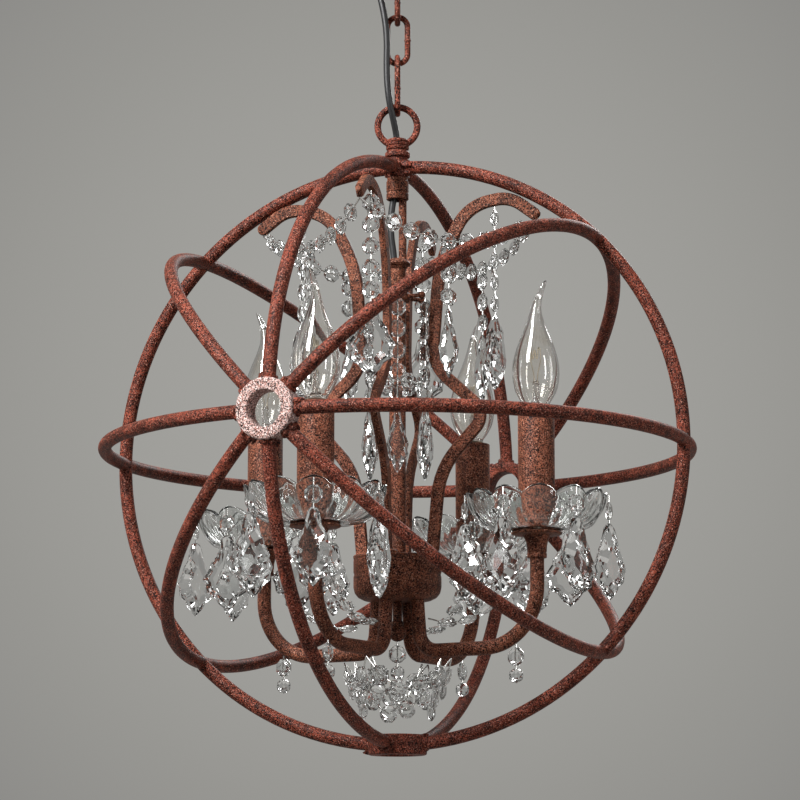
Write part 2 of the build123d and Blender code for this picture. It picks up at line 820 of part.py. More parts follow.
with BuildPart() as candle_sleeves:
    for azimuth in candle_azimuths:
        with BuildSketch(turned_frame(azimuth, candle_circle_radius, sleeve_bottom)):
            Circle(sleeve_diameter / 2)
            Circle(sleeve_bore_radius, mode=Mode.SUBTRACT)
        extrude(amount=sleeve_length)
        with BuildSketch(turned_frame(azimuth, candle_circle_radius, sleeve_top)):
            Circle(sleeve_diameter / 2)
            Circle(sleeve_bore_radius - sleeve_lip, mode=Mode.SUBTRACT)
        extrude(amount=-sleeve_wall)
candle_sleeves.part.label = "candle_sleeves"

holder_flange_radius = sleeve_bore_radius - slip
holder_base = sleeve_bottom + free
with BuildPart() as lampholders:
    for azimuth in candle_azimuths:
        with BuildSketch(turned_frame(azimuth, candle_circle_radius, arm_end + 2 * seat)):
            Circle(holder_stem_radius)
        extrude(amount=holder_base - arm_end)
        with BuildSketch(turned_frame(azimuth, candle_circle_radius, holder_base)):
            Circle(holder_flange_radius)
        extrude(amount=holder_flange_height)
        with BuildSketch(turned_frame(azimuth, candle_circle_radius, holder_base)):
            Circle(holder_radius)
        extrude(amount=holder_top - holder_base)
        with BuildSketch(turned_frame(azimuth, candle_circle_radius, holder_top)):
            Circle(socket_radius)
        extrude(amount=-holder_socket_depth, mode=Mode.SUBTRACT)
        with BuildSketch(turned_frame(azimuth, candle_circle_radius, arm_end + 2 * seat)):
            Circle(lead_diameter / 2 + slip)
        extrude(amount=holder_base - arm_end, mode=Mode.SUBTRACT)
lampholders.part.label = "lampholders"


def build_bulb(number, azimuth):
    """Candle bulb with a bent tail: screw cap, pear of glass and a thin tip that leans outwards."""
    plane = azimuth_plane(azimuth, glass_bottom, candle_circle_radius)
    height = bulb_glass_height
    with BuildPart() as bulb:
        with BuildSketch(plane):
            with BuildLine():
                cap = Polyline(
                    (0, -bulb_cap_length),
                    (bulb_cap_radius * 0.4, -bulb_cap_length),
                    (bulb_cap_radius, -bulb_cap_length * 0.85),
                    (bulb_cap_radius, -bulb_cap_length * 0.1),
                    (bulb_neck_radius, 0),
                )
                pear = Spline(
                    cap @ 1,
                    (bulb_radius * 0.86, height * 0.135),
                    (bulb_radius, height * 0.275),
                    (bulb_radius * 0.82, height * 0.47),
                    (bulb_radius * 0.34, height * 0.65),
                    (bulb_tail_radius * 1.3, height * 0.78),
                )
                Polyline(pear @ 1, (0, height * 0.78), cap @ 0)
            make_face()
        revolve(axis=Axis(place_round(azimuth, candle_circle_radius, 0), (0, 0, 1)))
        with BuildLine(plane):
            tail = ThreePointArc(
                (0, height * 0.77),
                (bulb_tail_reach * 0.28, height * 0.9),
                (bulb_tail_reach, height),
            )
        with BuildSketch(Plane(origin=tail @ 0, z_dir=tail % 0)):
            Circle(bulb_tail_radius)
        sweep(path=tail)
    bulb.part.label = f"bulb_{number}"
    return bulb


bulbs = [build_bulb(number, azimuth) for number, azimuth in enumerate(candle_azimuths, start=1)]

# ------------------------------------------------------------------------------------------------
# Wiring: supply cable down the chain, its end inside the column, terminal block, leads in the arms
# ------------------------------------------------------------------------------------------------

bush_top = -canopy_depth - seat + bush_neck
wireway_meeting = knuckle_bottom - 4.0
supply_route = [
    (bush_x, 0.0, bush_top),
    (bush_x, -0.4, eye_centre - 3.5),
    (-cable_side - 4.5, -cable_front - 0.5, -70.0),
    (-cable_side + 0.2, -cable_front - 3.0, -98.0),
    (-cable_side - 0.5, -cable_front - 3.0, -128.0),
    (-cable_side + 1.2, -cable_front - 4.0, -150.5),
    (-3.2, -6.0, -165.0),
    (0.0, 0.0, knuckle_top - 0.5),
    (0.0, 0.0, wireway_meeting),
]
terminal_bottom = bowl_bottom + bowl_wall + seat
terminal_top = terminal_bottom + terminal_height
inner_route = [
    (0.0, 0.0, wireway_meeting - seat),
    (-0.2, 0.0, coupling_top - 5.5),
    (-4.6, 0.0, coupling_bottom - 6.0),
    (-5.2, 0.0, -254.0),
    (-cable_inside_offset, 0.0, cap_top + 1.5),
    (-cable_inside_offset, -0.1, terminal_top + seat),
]


def build_cable(label, points):
    """Round cable along a route of runs joined by easy bends."""
    radii = corner_radii(points)
    with BuildPart() as cable:
        with BuildLine() as route:
            FilletPolyline(*points, radius=radii)
        with BuildSketch(Plane(origin=points[0], z_dir=route.line % 0)):
            Circle(cable_diameter / 2)
        sweep()
    cable.part.label = label
    length = sum(edge.length for edge in route.edges())
    share = cable.part.volume / (length * pi * cable_diameter**2 / 4)
    print(label, "length", round(length, 1), "volume share", round(share, 4))
    print(label, "radii", [round(radius, 1) for radius in radii])
    return cable


supply_cable = build_cable("supply_cable", supply_route)
inner_cable = build_cable("inner_cable", inner_route)

with BuildPart() as terminal_block:
    with BuildSketch(Plane.XY.offset(terminal_bottom)):
        Circle(terminal_radius)
    extrude(amount=terminal_height)
    chamfer(terminal_block.edges().filter_by(GeomType.CIRCLE), 1.0)
terminal_block.part.label = "terminal_block"

lead_level = terminal_bottom + lead_above_floor - cage_z
lead_route = [
    (terminal_radius + seat, lead_level),
    (arm_start_radius, lead_level),
    candle_route[1],
    candle_route[2],
    (candle_circle_radius, holder_base - seat - cage_z),
]
with BuildPart() as lamp_leads:
    for azimuth in candle_azimuths:
        with BuildLine(azimuth_plane(azimuth, cage_z)) as route:
            FilletPolyline(*lead_route, radius=[lead_bend, arm_inner_bend, arm_outer_bend])
        with BuildSketch(Plane(origin=route.line @ 0, z_dir=route.line % 0)):
            Circle(lead_diameter / 2)
        sweep()
lamp_leads.part.label = "lamp_leads"

# ------------------------------------------------------------------------------------------------
# Crystals: octagon beads on wire, leaf-shaped drops, balls
# ------------------------------------------------------------------------------------------------

with BuildPart() as bead_shape:
    with BuildSketch():
        RegularPolygon(bead_radius, 8, rotation=22.5)
    extrude(amount=bead_thickness / 2, both=True, taper=bead_facet)


# Right half of a leaf drop's outline, as shares of its width and length, from its top to its point
drop_half_outline = [
    (0.13, 0.05),
    (0.30, 0.34),
    (0.50, 0.60),
    (0.46, 0.74),
    (0.22, 0.89),
]


def cut_drop(width, length, thickness):
    """Leaf-shaped drop in its own frame: its top at the origin, its faces to local Z, its rim a thin edge."""
    right = [(x * width, -y * length) for x, y in drop_half_outline]
    left = [(-x, y) for x, y in reversed(right)]
    outline = [(0.0, 0.0), *right, (0.0, -length), *left]
    middle = -drop_table_middle * length
    table = [(x * drop_table_share, middle + (y - middle) * drop_table_share) for x, y in outline]
    with BuildPart() as drop:
        for side in (1, -1):
            with BuildSketch():
                Polygon(*outline, align=None)
            with BuildSketch(Plane.XY.offset(side * thickness / 2)):
                Polygon(*table, align=None)
            loft(ruled=True)
    return drop


leaf_drop = cut_drop(drop_width, drop_length, drop_thickness)
slim_drop = cut_drop(slim_drop_width, slim_drop_length, slim_drop_thickness)


def add_beads(frames):
    """Add one octagon bead at each frame to the part being built."""
    with Locations(*[frame.location for frame in frames]):
        add(bead_shape.part)


def add_wires(wires):
    """Add thin wire pieces, each a plane at its start and its length."""
    for plane, length in wires:
        with Locations(plane.location):
            Cylinder(wire_radius, length, align=(Align.CENTER, Align.CENTER, Align.MIN))


def add_hanging_line(top, bead_count, outwards, ending, to_first=first_bead_drop, drop_turn=0.0):
    """Straight strand under a point: beads on a wire, then a leaf drop, a slim drop or a ball."""
    beads = []
    for number in range(bead_count):
        place = top - Vector(0, 0, to_first + bead_pitch * number)
        beads.append(Plane(origin=place, x_dir=(0, 0, 1), z_dir=outwards))
    if beads:
        add_beads(beads)
    end = top - Vector(0, 0, to_first + bead_pitch * (bead_count - 1) + bead_flats / 2 + wire_gap)
    if ending == "ball":
        with Locations(end - Vector(0, 0, ball_radius)):
            Sphere(ball_radius)
    else:
        shape, length = (leaf_drop, drop_length) if ending == "leaf" else (slim_drop, slim_drop_length)
        face = outwards.rotate(Axis.Z, drop_turn)
        side = Vector(0, 0, 1).cross(face)
        with Locations(Plane(origin=end, x_dir=side, z_dir=face).location):
            add(shape.part)
    wire_length = top.Z - end.Z + wire_in_drop
    add_wires([(Plane(origin=top, z_dir=(0, 0, -1)), wire_length)])


# Strands that hang from the arch of each scroll arm and swing there
arch_top_z = cage_z + strand_hang_height


def build_strand(number, azimuth):
    """Beads, a leaf drop and a ball under the arch of one scroll arm."""
    top = place_round(azimuth, strand_radius, arch_top_z)
    outwards = place_round(azimuth, 1, 0)
    with BuildPart() as strand:
        add_hanging_line(top, strand_beads, outwards, "leaf")
    strand.part.label = f"crystal_strand_{number}"
    return strand


crystal_strands = [
    build_strand(number, azimuth) for number, azimuth in enumerate(scroll_azimuths, start=1)
]

# Swags from tip to tip, each with a short strand under its middle
tip_radius, tip_height = scroll_corners[-1]
swag_end_level = cage_z + tip_height - scroll_width / 2 - free - wire_radius
with BuildPart() as crystal_swags:
    for azimuth in scroll_azimuths:
        start = place_round(azimuth, tip_radius, swag_end_level)
        end = place_round(azimuth + 360 / scroll_count, tip_radius, swag_end_level)
        places = sagging_points(start, end, swag_sag, bead_pitch)
        beads, wires = strand_frames(places)
        add_beads(beads)
        add_wires(wires)
        middle = min(places, key=lambda place: place.Z)
        add_hanging_line(middle, swag_strand_beads, (middle - Vector(0, 0, middle.Z)).normalized(), "slim")
crystal_swags.part.label = "crystal_swags"

# Strands under the pegs of the spider, and a ring of beads round the column
peg_level = spider_top - spider_hub_height / 2
with BuildPart() as column_crystals:
    for azimuth in spider_azimuths:
        top = place_round(azimuth, spider_reach, peg_level - spider_ball_radius - seat)
        add_hanging_line(top, column_strand_beads, place_round(azimuth, 1, 0), "slim")
    for number in range(collar_beads):
        turn = 360 / collar_beads * number
        place = place_round(turn, collar_bead_circle, cage_z + collar_bead_height)
        side = place_round(turn + 90, 1, 0)
        add_beads([Plane(origin=place, x_dir=side, z_dir=place_round(turn, 1, 0))])
        after = place_round(turn + 360 / collar_beads, collar_bead_circle, cage_z + collar_bead_height)
        add_wires([(Plane(origin=place, z_dir=after - place), (after - place).length)])
column_crystals.part.label = "column_crystals"

# Garlands above the candle arms, with a bead or two under each arm
neck_side = candle_circle_radius - pan_neck_bottom_radius - free - wire_radius
with BuildPart() as arm_garlands:
    for azimuth in candle_azimuths:
        start = place_round(azimuth, neck_side, neck_bottom + 2)
        end = place_round(azimuth, garland_end_radius, cage_z - garland_end_below)
        beads, wires = strand_frames(sagging_points(start, end, garland_sag, bead_pitch))
        add_beads(beads)
        add_wires(wires)
        under = place_round(azimuth, under_arm_radius, cage_z - under_arm_below)
        add_hanging_line(under, 1, place_round(azimuth + 90, 1, 0), "ball")
arm_garlands.part.label = "arm_garlands"

# Loops from arm to arm under the bowl, and a drop under the finial
loop_level = cage_z - arm_dip - arm_diameter / 2 - free - wire_radius
with BuildPart() as bottom_crystals:
    for azimuth in candle_azimuths:
        for loop_radius, loop_sag in bottom_loops:
            start = place_round(azimuth, loop_radius, loop_level)
            end = place_round(azimuth + 360 / arm_count, loop_radius, loop_level)
            beads, wires = strand_frames(sagging_points(start, end, loop_sag, bead_pitch))
            add_beads(beads)
            add_wires(wires)
    under_ball = Vector(0, 0, finial_ball_level - finial_ball_radius - free)
    add_hanging_line(under_ball, 1, Vector(0, -1, 0), "ball")
bottom_crystals.part.label = "bottom_crystals"


def build_dish_drops(number, azimuth):
    """Leaf drops round the rim of one glass dish, each under a bead."""
    frame = turned_frame(azimuth, candle_circle_radius, dish_rim - drop_hook)
    with BuildPart() as drops:
        for drop, drop_turn in enumerate(drop_turns):
            outwards = place_round(azimuth + 360 / len(drop_turns) * (drop + 0.5), 1, 0)
            top = frame.origin + outwards * (dish_radius + free + wire_radius)
            add_hanging_line(top, 1, outwards, "leaf", dish_bead_drop, drop_turn)
    drops.part.label = f"dish_drops_{number}"
    return drops


dish_drops = [build_dish_drops(number, azimuth) for number, azimuth in enumerate(candle_azimuths, start=1)]

# ------------------------------------------------------------------------------------------------
# Write every piece
# ------------------------------------------------------------------------------------------------

pieces = [ceiling_strap, canopy, canopy_loop, canopy_loop_nut, cable_bush]
pieces += links
pieces += [supply_cable, inner_cable, top_loop, loop_collar, top_hub, cage_hubs]
pieces += rings
pieces += [hanger_coupling, hanger_rod, column_cap, column, crystal_spider, bowl_lid, bowl, bowl_finial]
pieces += scroll_arms
pieces += candle_arms
pieces += [drip_pans, candle_sleeves, lampholders, terminal_block, lamp_leads]
pieces += glass_dishes
pieces += bulbs
pieces += [crystal_swags, column_crystals, arm_garlands, bottom_crystals]
pieces += crystal_strands
pieces += dish_drops

os.makedirs("parts", exist_ok=True)
for piece in pieces:
    export_step(piece.part, f"parts/{piece.part.label}.step")
print(len(pieces), "pieces written")
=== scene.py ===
"""Orb chandelier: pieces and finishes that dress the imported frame.

Sizes are in millimetres, as a maker gives them, and become metres where a mesh is made. The origin is
the middle of the ceiling screws, +Z is up and -Y is the front of the light.
"""

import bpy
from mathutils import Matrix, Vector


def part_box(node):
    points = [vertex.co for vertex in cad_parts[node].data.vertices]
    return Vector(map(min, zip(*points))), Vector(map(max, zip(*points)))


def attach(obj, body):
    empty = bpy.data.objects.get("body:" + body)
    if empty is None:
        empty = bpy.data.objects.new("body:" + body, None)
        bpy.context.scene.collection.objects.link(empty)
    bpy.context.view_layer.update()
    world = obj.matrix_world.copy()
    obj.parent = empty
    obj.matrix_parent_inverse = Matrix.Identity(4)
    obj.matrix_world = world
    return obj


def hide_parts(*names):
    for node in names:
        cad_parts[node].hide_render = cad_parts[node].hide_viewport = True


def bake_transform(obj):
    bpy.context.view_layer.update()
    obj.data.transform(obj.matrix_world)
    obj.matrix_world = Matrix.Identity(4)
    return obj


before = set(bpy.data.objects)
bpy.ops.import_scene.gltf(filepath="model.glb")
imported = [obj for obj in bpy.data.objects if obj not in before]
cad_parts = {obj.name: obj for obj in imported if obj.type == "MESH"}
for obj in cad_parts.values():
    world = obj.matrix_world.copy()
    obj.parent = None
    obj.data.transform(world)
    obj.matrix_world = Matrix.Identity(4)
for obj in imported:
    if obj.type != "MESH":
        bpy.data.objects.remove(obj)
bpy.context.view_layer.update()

import logging
import math
from dataclasses import dataclass, field
from enum import Enum

import bpy
from mathutils import Matrix, Vector

log = logging.getLogger("chandelier")
MM = 0.001
Point = tuple[float, float, float]
Profile = list[tuple[float, float]]


# ---------------------------------------------------------------------------------------------
# Hand tools: each starts, shapes or closes one mesh
# ---------------------------------------------------------------------------------------------


def clear_hands() -> None:
    """Leave edit mode and let go of every object."""
    if bpy.context.object and bpy.context.object.mode != "OBJECT":
        bpy.ops.object.mode_set(mode="OBJECT")
    bpy.ops.object.select_all(action="DESELECT")


def hold(obj: bpy.types.Object) -> None:
    """Select one object alone and make it the active one."""
    clear_hands()
    obj.select_set(True)
    bpy.context.view_layer.objects.active = obj


def edit(obj: bpy.types.Object, select: str = "SELECT") -> None:
    """Open an object in edit mode with all, or nothing, of it selected."""
    hold(obj)
    bpy.ops.object.mode_set(mode="EDIT")
    bpy.ops.mesh.select_mode(type="VERT")
    bpy.ops.mesh.select_all(action=select)


def shut(obj: bpy.types.Object) -> bpy.types.Object:
    """Merge doubles, turn the faces outwards and leave edit mode."""
    bpy.ops.mesh.select_all(action="SELECT")
    bpy.ops.mesh.remove_doubles(threshold=2e-6)
    bpy.ops.mesh.normals_make_consistent(inside=False)
    bpy.ops.object.mode_set(mode="OBJECT")
    return obj


def drag(step: Vector) -> None:
    """Extrude what is selected and move it by a step in metres."""
    bpy.ops.mesh.extrude_region_move(TRANSFORM_OT_translate={"value": tuple(step)})


def bake_place(obj: bpy.types.Object) -> bpy.types.Object:
    """Put an object's place, turn and size into its mesh."""
    hold(obj)
    bpy.ops.object.transform_apply(location=True, rotation=True, scale=True)
    return obj


def lathe(profile: Profile, steps: int = 48, closed: bool = False) -> bpy.types.Object:
    """Turn a profile about the Z axis.

    Args:
        profile: radius and height of each corner, in millimetres.
        steps: divisions round the axis.
        closed: True for a ring, whose last corner joins its first.

    Returns:
        The turned mesh object, at the origin.
    """
    clear_hands()
    bpy.ops.mesh.primitive_circle_add(vertices=3, radius=MM)
    obj = bpy.context.object
    edit(obj)
    bpy.ops.mesh.merge(type="CENTER")
    bpy.ops.transform.translate(value=(profile[0][0] * MM, 0, profile[0][1] * MM))
    corners = profile + profile[:1] if closed else profile
    for (r0, z0), (r1, z1) in zip(corners, corners[1:]):
        drag(Vector((r1 - r0, 0, z1 - z0)) * MM)
    bpy.ops.mesh.select_all(action="SELECT")
    bpy.ops.mesh.spin(steps=steps, angle=math.tau, center=(0, 0, 0), axis=(0, 0, 1))
    return shut(obj)


def start_circle(place: Vector, along: Vector, radius: float, sides: int) -> bpy.types.Object:
    """Open a circle of vertices in edit mode, square to a direction.

    Args:
        place: its middle, in millimetres.
        along: the direction that it faces.
        radius: in millimetres.
        sides: how many vertices.

    Returns:
        The object, in edit mode with the circle selected.
    """
    clear_hands()
    turn = along.to_track_quat("Z", "Y").to_euler()
    bpy.ops.mesh.primitive_circle_add(
        vertices=sides, radius=radius * MM, location=tuple(place * MM), rotation=turn
    )
    obj = bpy.context.object
    bake_place(obj)
    edit(obj)
    return obj


def round_off(place: Vector, along: Vector, radius: float, rings: int = 4) -> None:
    """Close the selected circle with a half ball.

    Args:
        place: the circle's middle, in millimetres.
        along: the way that the half ball points, a unit vector.
        radius: in millimetres.
        rings: how many rings the half ball has.
    """
    before_reach, before_size = 0.0, 1.0
    for ring in range(1, rings + 1):
        angle = math.pi / 2 * ring / rings
        reach, size = math.sin(angle) * radius, max(math.cos(angle), 0.02)
        drag(along * (reach - before_reach) * MM)
        middle = (place + along * reach) * MM
        bpy.ops.transform.resize(value=(size / before_size,) * 3, center_override=tuple(middle))
        before_reach, before_size = reach, size
    bpy.ops.mesh.merge(type="CENTER")


def square_up(obj: bpy.types.Object, place: Vector, radius: float, thin: Vector, thickness: float) -> None:
    """Turn a started circle into the section of a flat bar with eased edges.

    Args:
        obj: the object, in edit mode with the circle selected.
        place: the circle's middle, in millimetres.
        radius: of the circle, and half the bar's width.
        thin: the way that the bar is thin, a unit vector.
        thickness: of the bar.
    """
    # the faces reach full thickness, and the edges full width, before the circle does
    flatten, widen = 1.45, 1.22
    bpy.ops.object.mode_set(mode="OBJECT")
    for vertex in obj.data.vertices:
        offset = vertex.co / MM - place
        across = offset.dot(thin)
        wide = offset - thin * across
        across = max(-1.0, min(1.0, across / radius * flatten)) * thickness / 2
        share = min(1.0, wide.length / radius * widen)
        if wide.length > 0.01:
            wide = wide.normalized() * share * radius
        vertex.co = (place + thin * across + wide) * MM
    edit(obj)


def bend_tube(
    points: list[Vector], bends: list[float], radius: float, sides: int = 20,
    round_ends: tuple[bool, bool] = (False, False), flat: tuple[Vector, float] | None = None,
) -> bpy.types.Object:
    """Bend round tube or flat bar: a straight run is drawn out, then turned about the middle of each bend.

    Args:
        points: corners of the bar's middle line, in millimetres.
        bends: radius of the middle line at each inner corner.
        radius: outer radius of the tube, or half the width of the bar.
        sides: vertices round the tube.
        round_ends: whether the first and the last end are half balls.
        flat: for a bar, the way that it is thin and how thick it is.

    Returns:
        The tube, closed at both ends.
    """
    ways = [(b - a).normalized() for a, b in zip(points, points[1:])]
    obj = start_circle(points[0], ways[0], radius, sides)
    if flat:
        square_up(obj, points[0], radius, *flat)
    here = points[0].copy()
    for corner, bend, way, after in zip(points[1:], bends, ways, ways[1:]):
        turn = way.angle(after)
        reach = bend * math.tan(turn / 2)
        bend_start = corner - way * reach
        if (bend_start - here).dot(way) > 0.01:
            drag((bend_start - here) * MM)
        axis = way.cross(after).normalized()
        middle = bend_start + axis.cross(way) * bend
        steps = max(3, round(math.degrees(turn) / 6))
        bpy.ops.mesh.spin(steps=steps, angle=-turn, center=tuple(middle * MM), axis=tuple(axis))
        here = corner + after * reach
    drag((points[-1] - here) * MM)
    if round_ends[1]:
        round_off(points[-1], ways[-1], radius)
    else:
        bpy.ops.mesh.edge_face_add()
    bpy.ops.mesh.select_all(action="DESELECT")
    select_vertices(obj, lambda v: abs((v - points[0] * MM).dot(ways[0])) < 1e-6
                    and (v - points[0] * MM).length < radius * MM * 1.2)
    if round_ends[0]:
        round_off(points[0], -ways[0], radius)
    else:
        bpy.ops.mesh.edge_face_add()
    return shut(obj)


def select_vertices(obj: bpy.types.Object, test) -> None:
    """Select the vertices that pass a test on their place in metres, and stay in edit mode."""
    bpy.ops.object.mode_set(mode="OBJECT")
    for vertex in obj.data.vertices:
        vertex.select = bool(test(vertex.co))
    bpy.ops.object.mode_set(mode="EDIT")
    bpy.ops.mesh.select_mode(type="VERT")


def select_faces(obj: bpy.types.Object, test) -> None:
    """Select the faces that pass a test on their middle and normal, and stay in edit mode."""
    bpy.ops.mesh.select_mode(type="FACE")
    bpy.ops.mesh.select_all(action="DESELECT")
    bpy.ops.object.mode_set(mode="OBJECT")
    for face in obj.data.polygons:
        face.select = bool(test(face.center, face.normal))
    bpy.ops.object.mode_set(mode="EDIT")


def join(pieces: list[bpy.types.Object]) -> bpy.types.Object:
    """Make one object of several meshes."""
    hold(pieces[0])
    for piece in pieces[1:]:
        piece.select_set(True)
    if len(pieces) > 1:
        bpy.ops.object.join()
    return pieces[0]


def copy_to(pattern: bpy.types.Object, places: list[Matrix]) -> list[bpy.types.Object]:
    """Copies of a pattern, each with its own mesh, at places in millimetres."""
    copies = []
    for place in places:
        twin = pattern.copy()
        twin.data = pattern.data.copy()
        bpy.context.collection.objects.link(twin)
        twin.data.transform(place)
        copies.append(twin)
    return copies


def throw_away(obj: bpy.types.Object) -> None:
    """Remove a pattern that was only copied."""
    bpy.data.objects.remove(obj, do_unlink=True)


def rounds(azimuth: float, distance: float, level: float) -> Vector:
    """Point at an azimuth in degrees, a distance from the axis and a level, in millimetres."""
    a = math.radians(azimuth)
    return Vector((distance * math.cos(a), distance * math.sin(a), level))


def frame_at(place: Vector, x_way: Vector, z_way: Vector) -> Matrix:
    """Matrix in metres that stands a pattern at a place, with its X and Z ways given."""
    z = z_way.normalized()
    x = (x_way - z * x_way.dot(z)).normalized()
    turned = Matrix((x, z.cross(x), z)).transposed().to_4x4()
    return Matrix.Translation(place * MM) @ turned


def upright(azimuth: float, distance: float, level: float) -> Matrix:
    """Matrix that stands a lathed pattern at a place round the axis, its X way outwards."""
    return frame_at(rounds(azimuth, distance, level), rounds(azimuth, 1, 0), Vector((0, 0, 1)))


class Shade(Enum):
    """How the faces of a piece are shaded."""

    ROUND = 38.0
    CUT = 0.0


def hand_over(
    obj: bpy.types.Object, name: str, material: bpy.types.Material, body: str,
    nodes: tuple[str, ...] = (), shade: Shade = Shade.ROUND,
) -> bpy.types.Object:
    """Name, shade and colour a finished piece, and hand it to the frame.

    Args:
        obj: the finished mesh.
        name: its name in the table.
        material: its finish.
        body: the body that it rides on.
        nodes: nodes of the construction model that it stands for.
        shade: round or cut faces.

    Returns:
        The same object.
    """
    bake_place(obj)
    obj.name = name
    obj.data.name = name
    obj.data.materials.clear()
    obj.data.materials.append(material)
    if shade is Shade.ROUND:
        bpy.ops.object.shade_smooth_by_angle(angle=math.radians(shade.value))
    else:
        bpy.ops.object.shade_flat()
    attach(obj, body)
    if nodes:
        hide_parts(*nodes)
    log.info("%s: %d faces on %s", name, len(obj.data.polygons), body)
    return obj


# ---------------------------------------------------------------------------------------------
# Finishes
# ---------------------------------------------------------------------------------------------


def linear(code: str) -> tuple[float, float, float, float]:
    """An sRGB hex colour as linear red, green, blue and alpha."""
    parts = [int(code[i : i + 2], 16) / 255 for i in (1, 3, 5)]
    made = [p / 12.92 if p <= 0.04045 else ((p + 0.055) / 1.055) ** 2.4 for p in parts]
    return (made[0], made[1], made[2], 1.0)


def add_node(
    tree: bpy.types.NodeTree, kind: str, values: dict | None = None, links: dict | None = None,
    **settings,
) -> bpy.types.Node:
    """Add one shader node.

    Args:
        tree: the material's node tree.
        kind: the node's type name.
        values: socket values by name or number.
        links: output sockets to join, by input name or number.
        **settings: plain properties of the node.

    Returns:
        The new node.
    """
    node = tree.nodes.new(kind)
    for key, value in settings.items():
        setattr(node, key, value)
    for key, value in (values or {}).items():
        node.inputs[key].default_value = value
    for key, socket in (links or {}).items():
        tree.links.new(socket, node.inputs[key])
    return node


def ramp(tree: bpy.types.NodeTree, source, stops: list[tuple[float, tuple]]) -> bpy.types.Node:
    """Add a colour ramp with its stops, fed by a socket."""
    node = add_node(tree, "ShaderNodeValToRGB", links={"Fac": source})
    elements = node.color_ramp.elements
    while len(elements) < len(stops):
        elements.new(0.5)
    for element, (place, colour) in zip(elements, stops):
        element.position = place
        element.color = colour
    return node


def new_material(name: str) -> tuple[bpy.types.Material, bpy.types.NodeTree, bpy.types.Node]:
    """An empty node material with its output and object coordinates.

    Returns:
        The material, its tree and its Texture Coordinate node.
    """
    material = bpy.data.materials.new(name)
    material.use_nodes = True
    tree = material.node_tree
    tree.nodes.clear()
    add_node(tree, "ShaderNodeOutputMaterial")
    return material, tree, add_node(tree, "ShaderNodeTexCoord")


WHITE = (1.0, 1.0, 1.0, 1.0)
BLACK = (0.0, 0.0, 0.0, 1.0)


@dataclass(frozen=True)
class RustedIron:
    """Mild steel under sponged brown paint: dark, with rust bloom, pale specks and black pits."""

    name: str
    brown: str
    rust: str
    pale: str
    pit: str = "#0a0605"
    pale_share: float = 0.5
    speck_mm: float = 0.95
    pit_mm: float = 1.045
    bloom_mm: float = 9.0
    roughness: float = 0.5

    def build(self) -> bpy.types.Material:
        """Make the material."""
        material, tree, coord = new_material(self.name)
        place = coord.outputs["Object"]
        # bloom: broad patches where the rust colour shows through the brown
        bloom = add_node(
            tree, "ShaderNodeTexNoise", {"Scale": 1 / (self.bloom_mm * MM), "Detail": 5.0, "Roughness": 0.7},
            {"Vector": place},
        )
        bloom_ramp = ramp(tree, bloom.outputs["Fac"],
                          [(0.38, linear(self.brown)), (0.62, linear(self.rust))])
        # specks: grains of the sponged coat, drawn about as coarse as the eye sees them
        specks = add_node(
            tree, "ShaderNodeTexNoise",
            {"Scale": 1 / (self.speck_mm * MM), "Detail": 3.0, "Roughness": 0.65},
            {"Vector": place},
        )
        threshold = 0.66 - 0.16 * self.pale_share
        pale_mask = ramp(tree, specks.outputs["Fac"], [(threshold - 0.03, BLACK), (threshold + 0.05, WHITE)])
        pale = add_node(
            tree, "ShaderNodeMix", {7: linear(self.pale)},
            {0: pale_mask.outputs["Color"], 6: bloom_ramp.outputs["Color"]}, data_type="RGBA",
        )
        pits = add_node(
            tree, "ShaderNodeTexNoise",
            {"Scale": 1 / (self.pit_mm * MM), "Detail": 3.0, "Roughness": 0.7, "Distortion": 0.3},
            {"Vector": place},
        )
        pit_mask = ramp(tree, pits.outputs["Fac"], [(0.45, WHITE), (0.52, BLACK)])
        colour = add_node(
            tree, "ShaderNodeMix", {7: linear(self.pit)},
            {0: pit_mask.outputs["Color"], 6: pale.outputs[2]}, data_type="RGBA",
        )
        rough = add_node(
            tree, "ShaderNodeMapRange", {"To Min": self.roughness - 0.1, "To Max": self.roughness + 0.2},
            {"Value": bloom.outputs["Fac"]},
        )
        bump = add_node(
            tree, "ShaderNodeBump", {"Strength": 0.55, "Distance": 0.25 * MM},
            {"Height": specks.outputs["Fac"]},
        )
        shader = add_node(
            tree, "ShaderNodeBsdfPrincipled", {"Metallic": 0.0, "Specular IOR Level": 0.10},
            {"Base Color": colour.outputs[2], "Roughness": rough.outputs["Result"],
             "Normal": bump.outputs["Normal"]},
        )
        tree.links.new(shader.outputs["BSDF"], tree.nodes["Material Output"].inputs["Surface"])
        return material


@dataclass(frozen=True)
class ClearGlass:
    """Clear glass: nearly colourless, with a faint unevenness from being pressed, blown or cut."""

    name: str
    tint: str
    ior: float
    wave_mm: float
    wave: float
    roughness: float = 0.0

    def build(self) -> bpy.types.Material:
        """Make the material."""
        material, tree, coord = new_material(self.name)
        waves = add_node(
            tree, "ShaderNodeTexNoise", {"Scale": 1 / (self.wave_mm * MM), "Detail": 2.0},
            {"Vector": coord.outputs["Object"]},
        )
        tint = ramp(tree, waves.outputs["Fac"], [(0.3, linear(self.tint)), (0.7, WHITE)])
        bump = add_node(
            tree, "ShaderNodeBump", {"Strength": self.wave, "Distance": 0.2 * MM},
            {"Height": waves.outputs["Fac"]},
        )
        shader = add_node(
            tree, "ShaderNodeBsdfPrincipled",
            {"Transmission Weight": 1.0, "IOR": self.ior, "Roughness": self.roughness},
            {"Base Color": tint.outputs["Color"], "Normal": bump.outputs["Normal"]},
        )
        tree.links.new(shader.outputs["BSDF"], tree.nodes["Material Output"].inputs["Surface"])
        return material


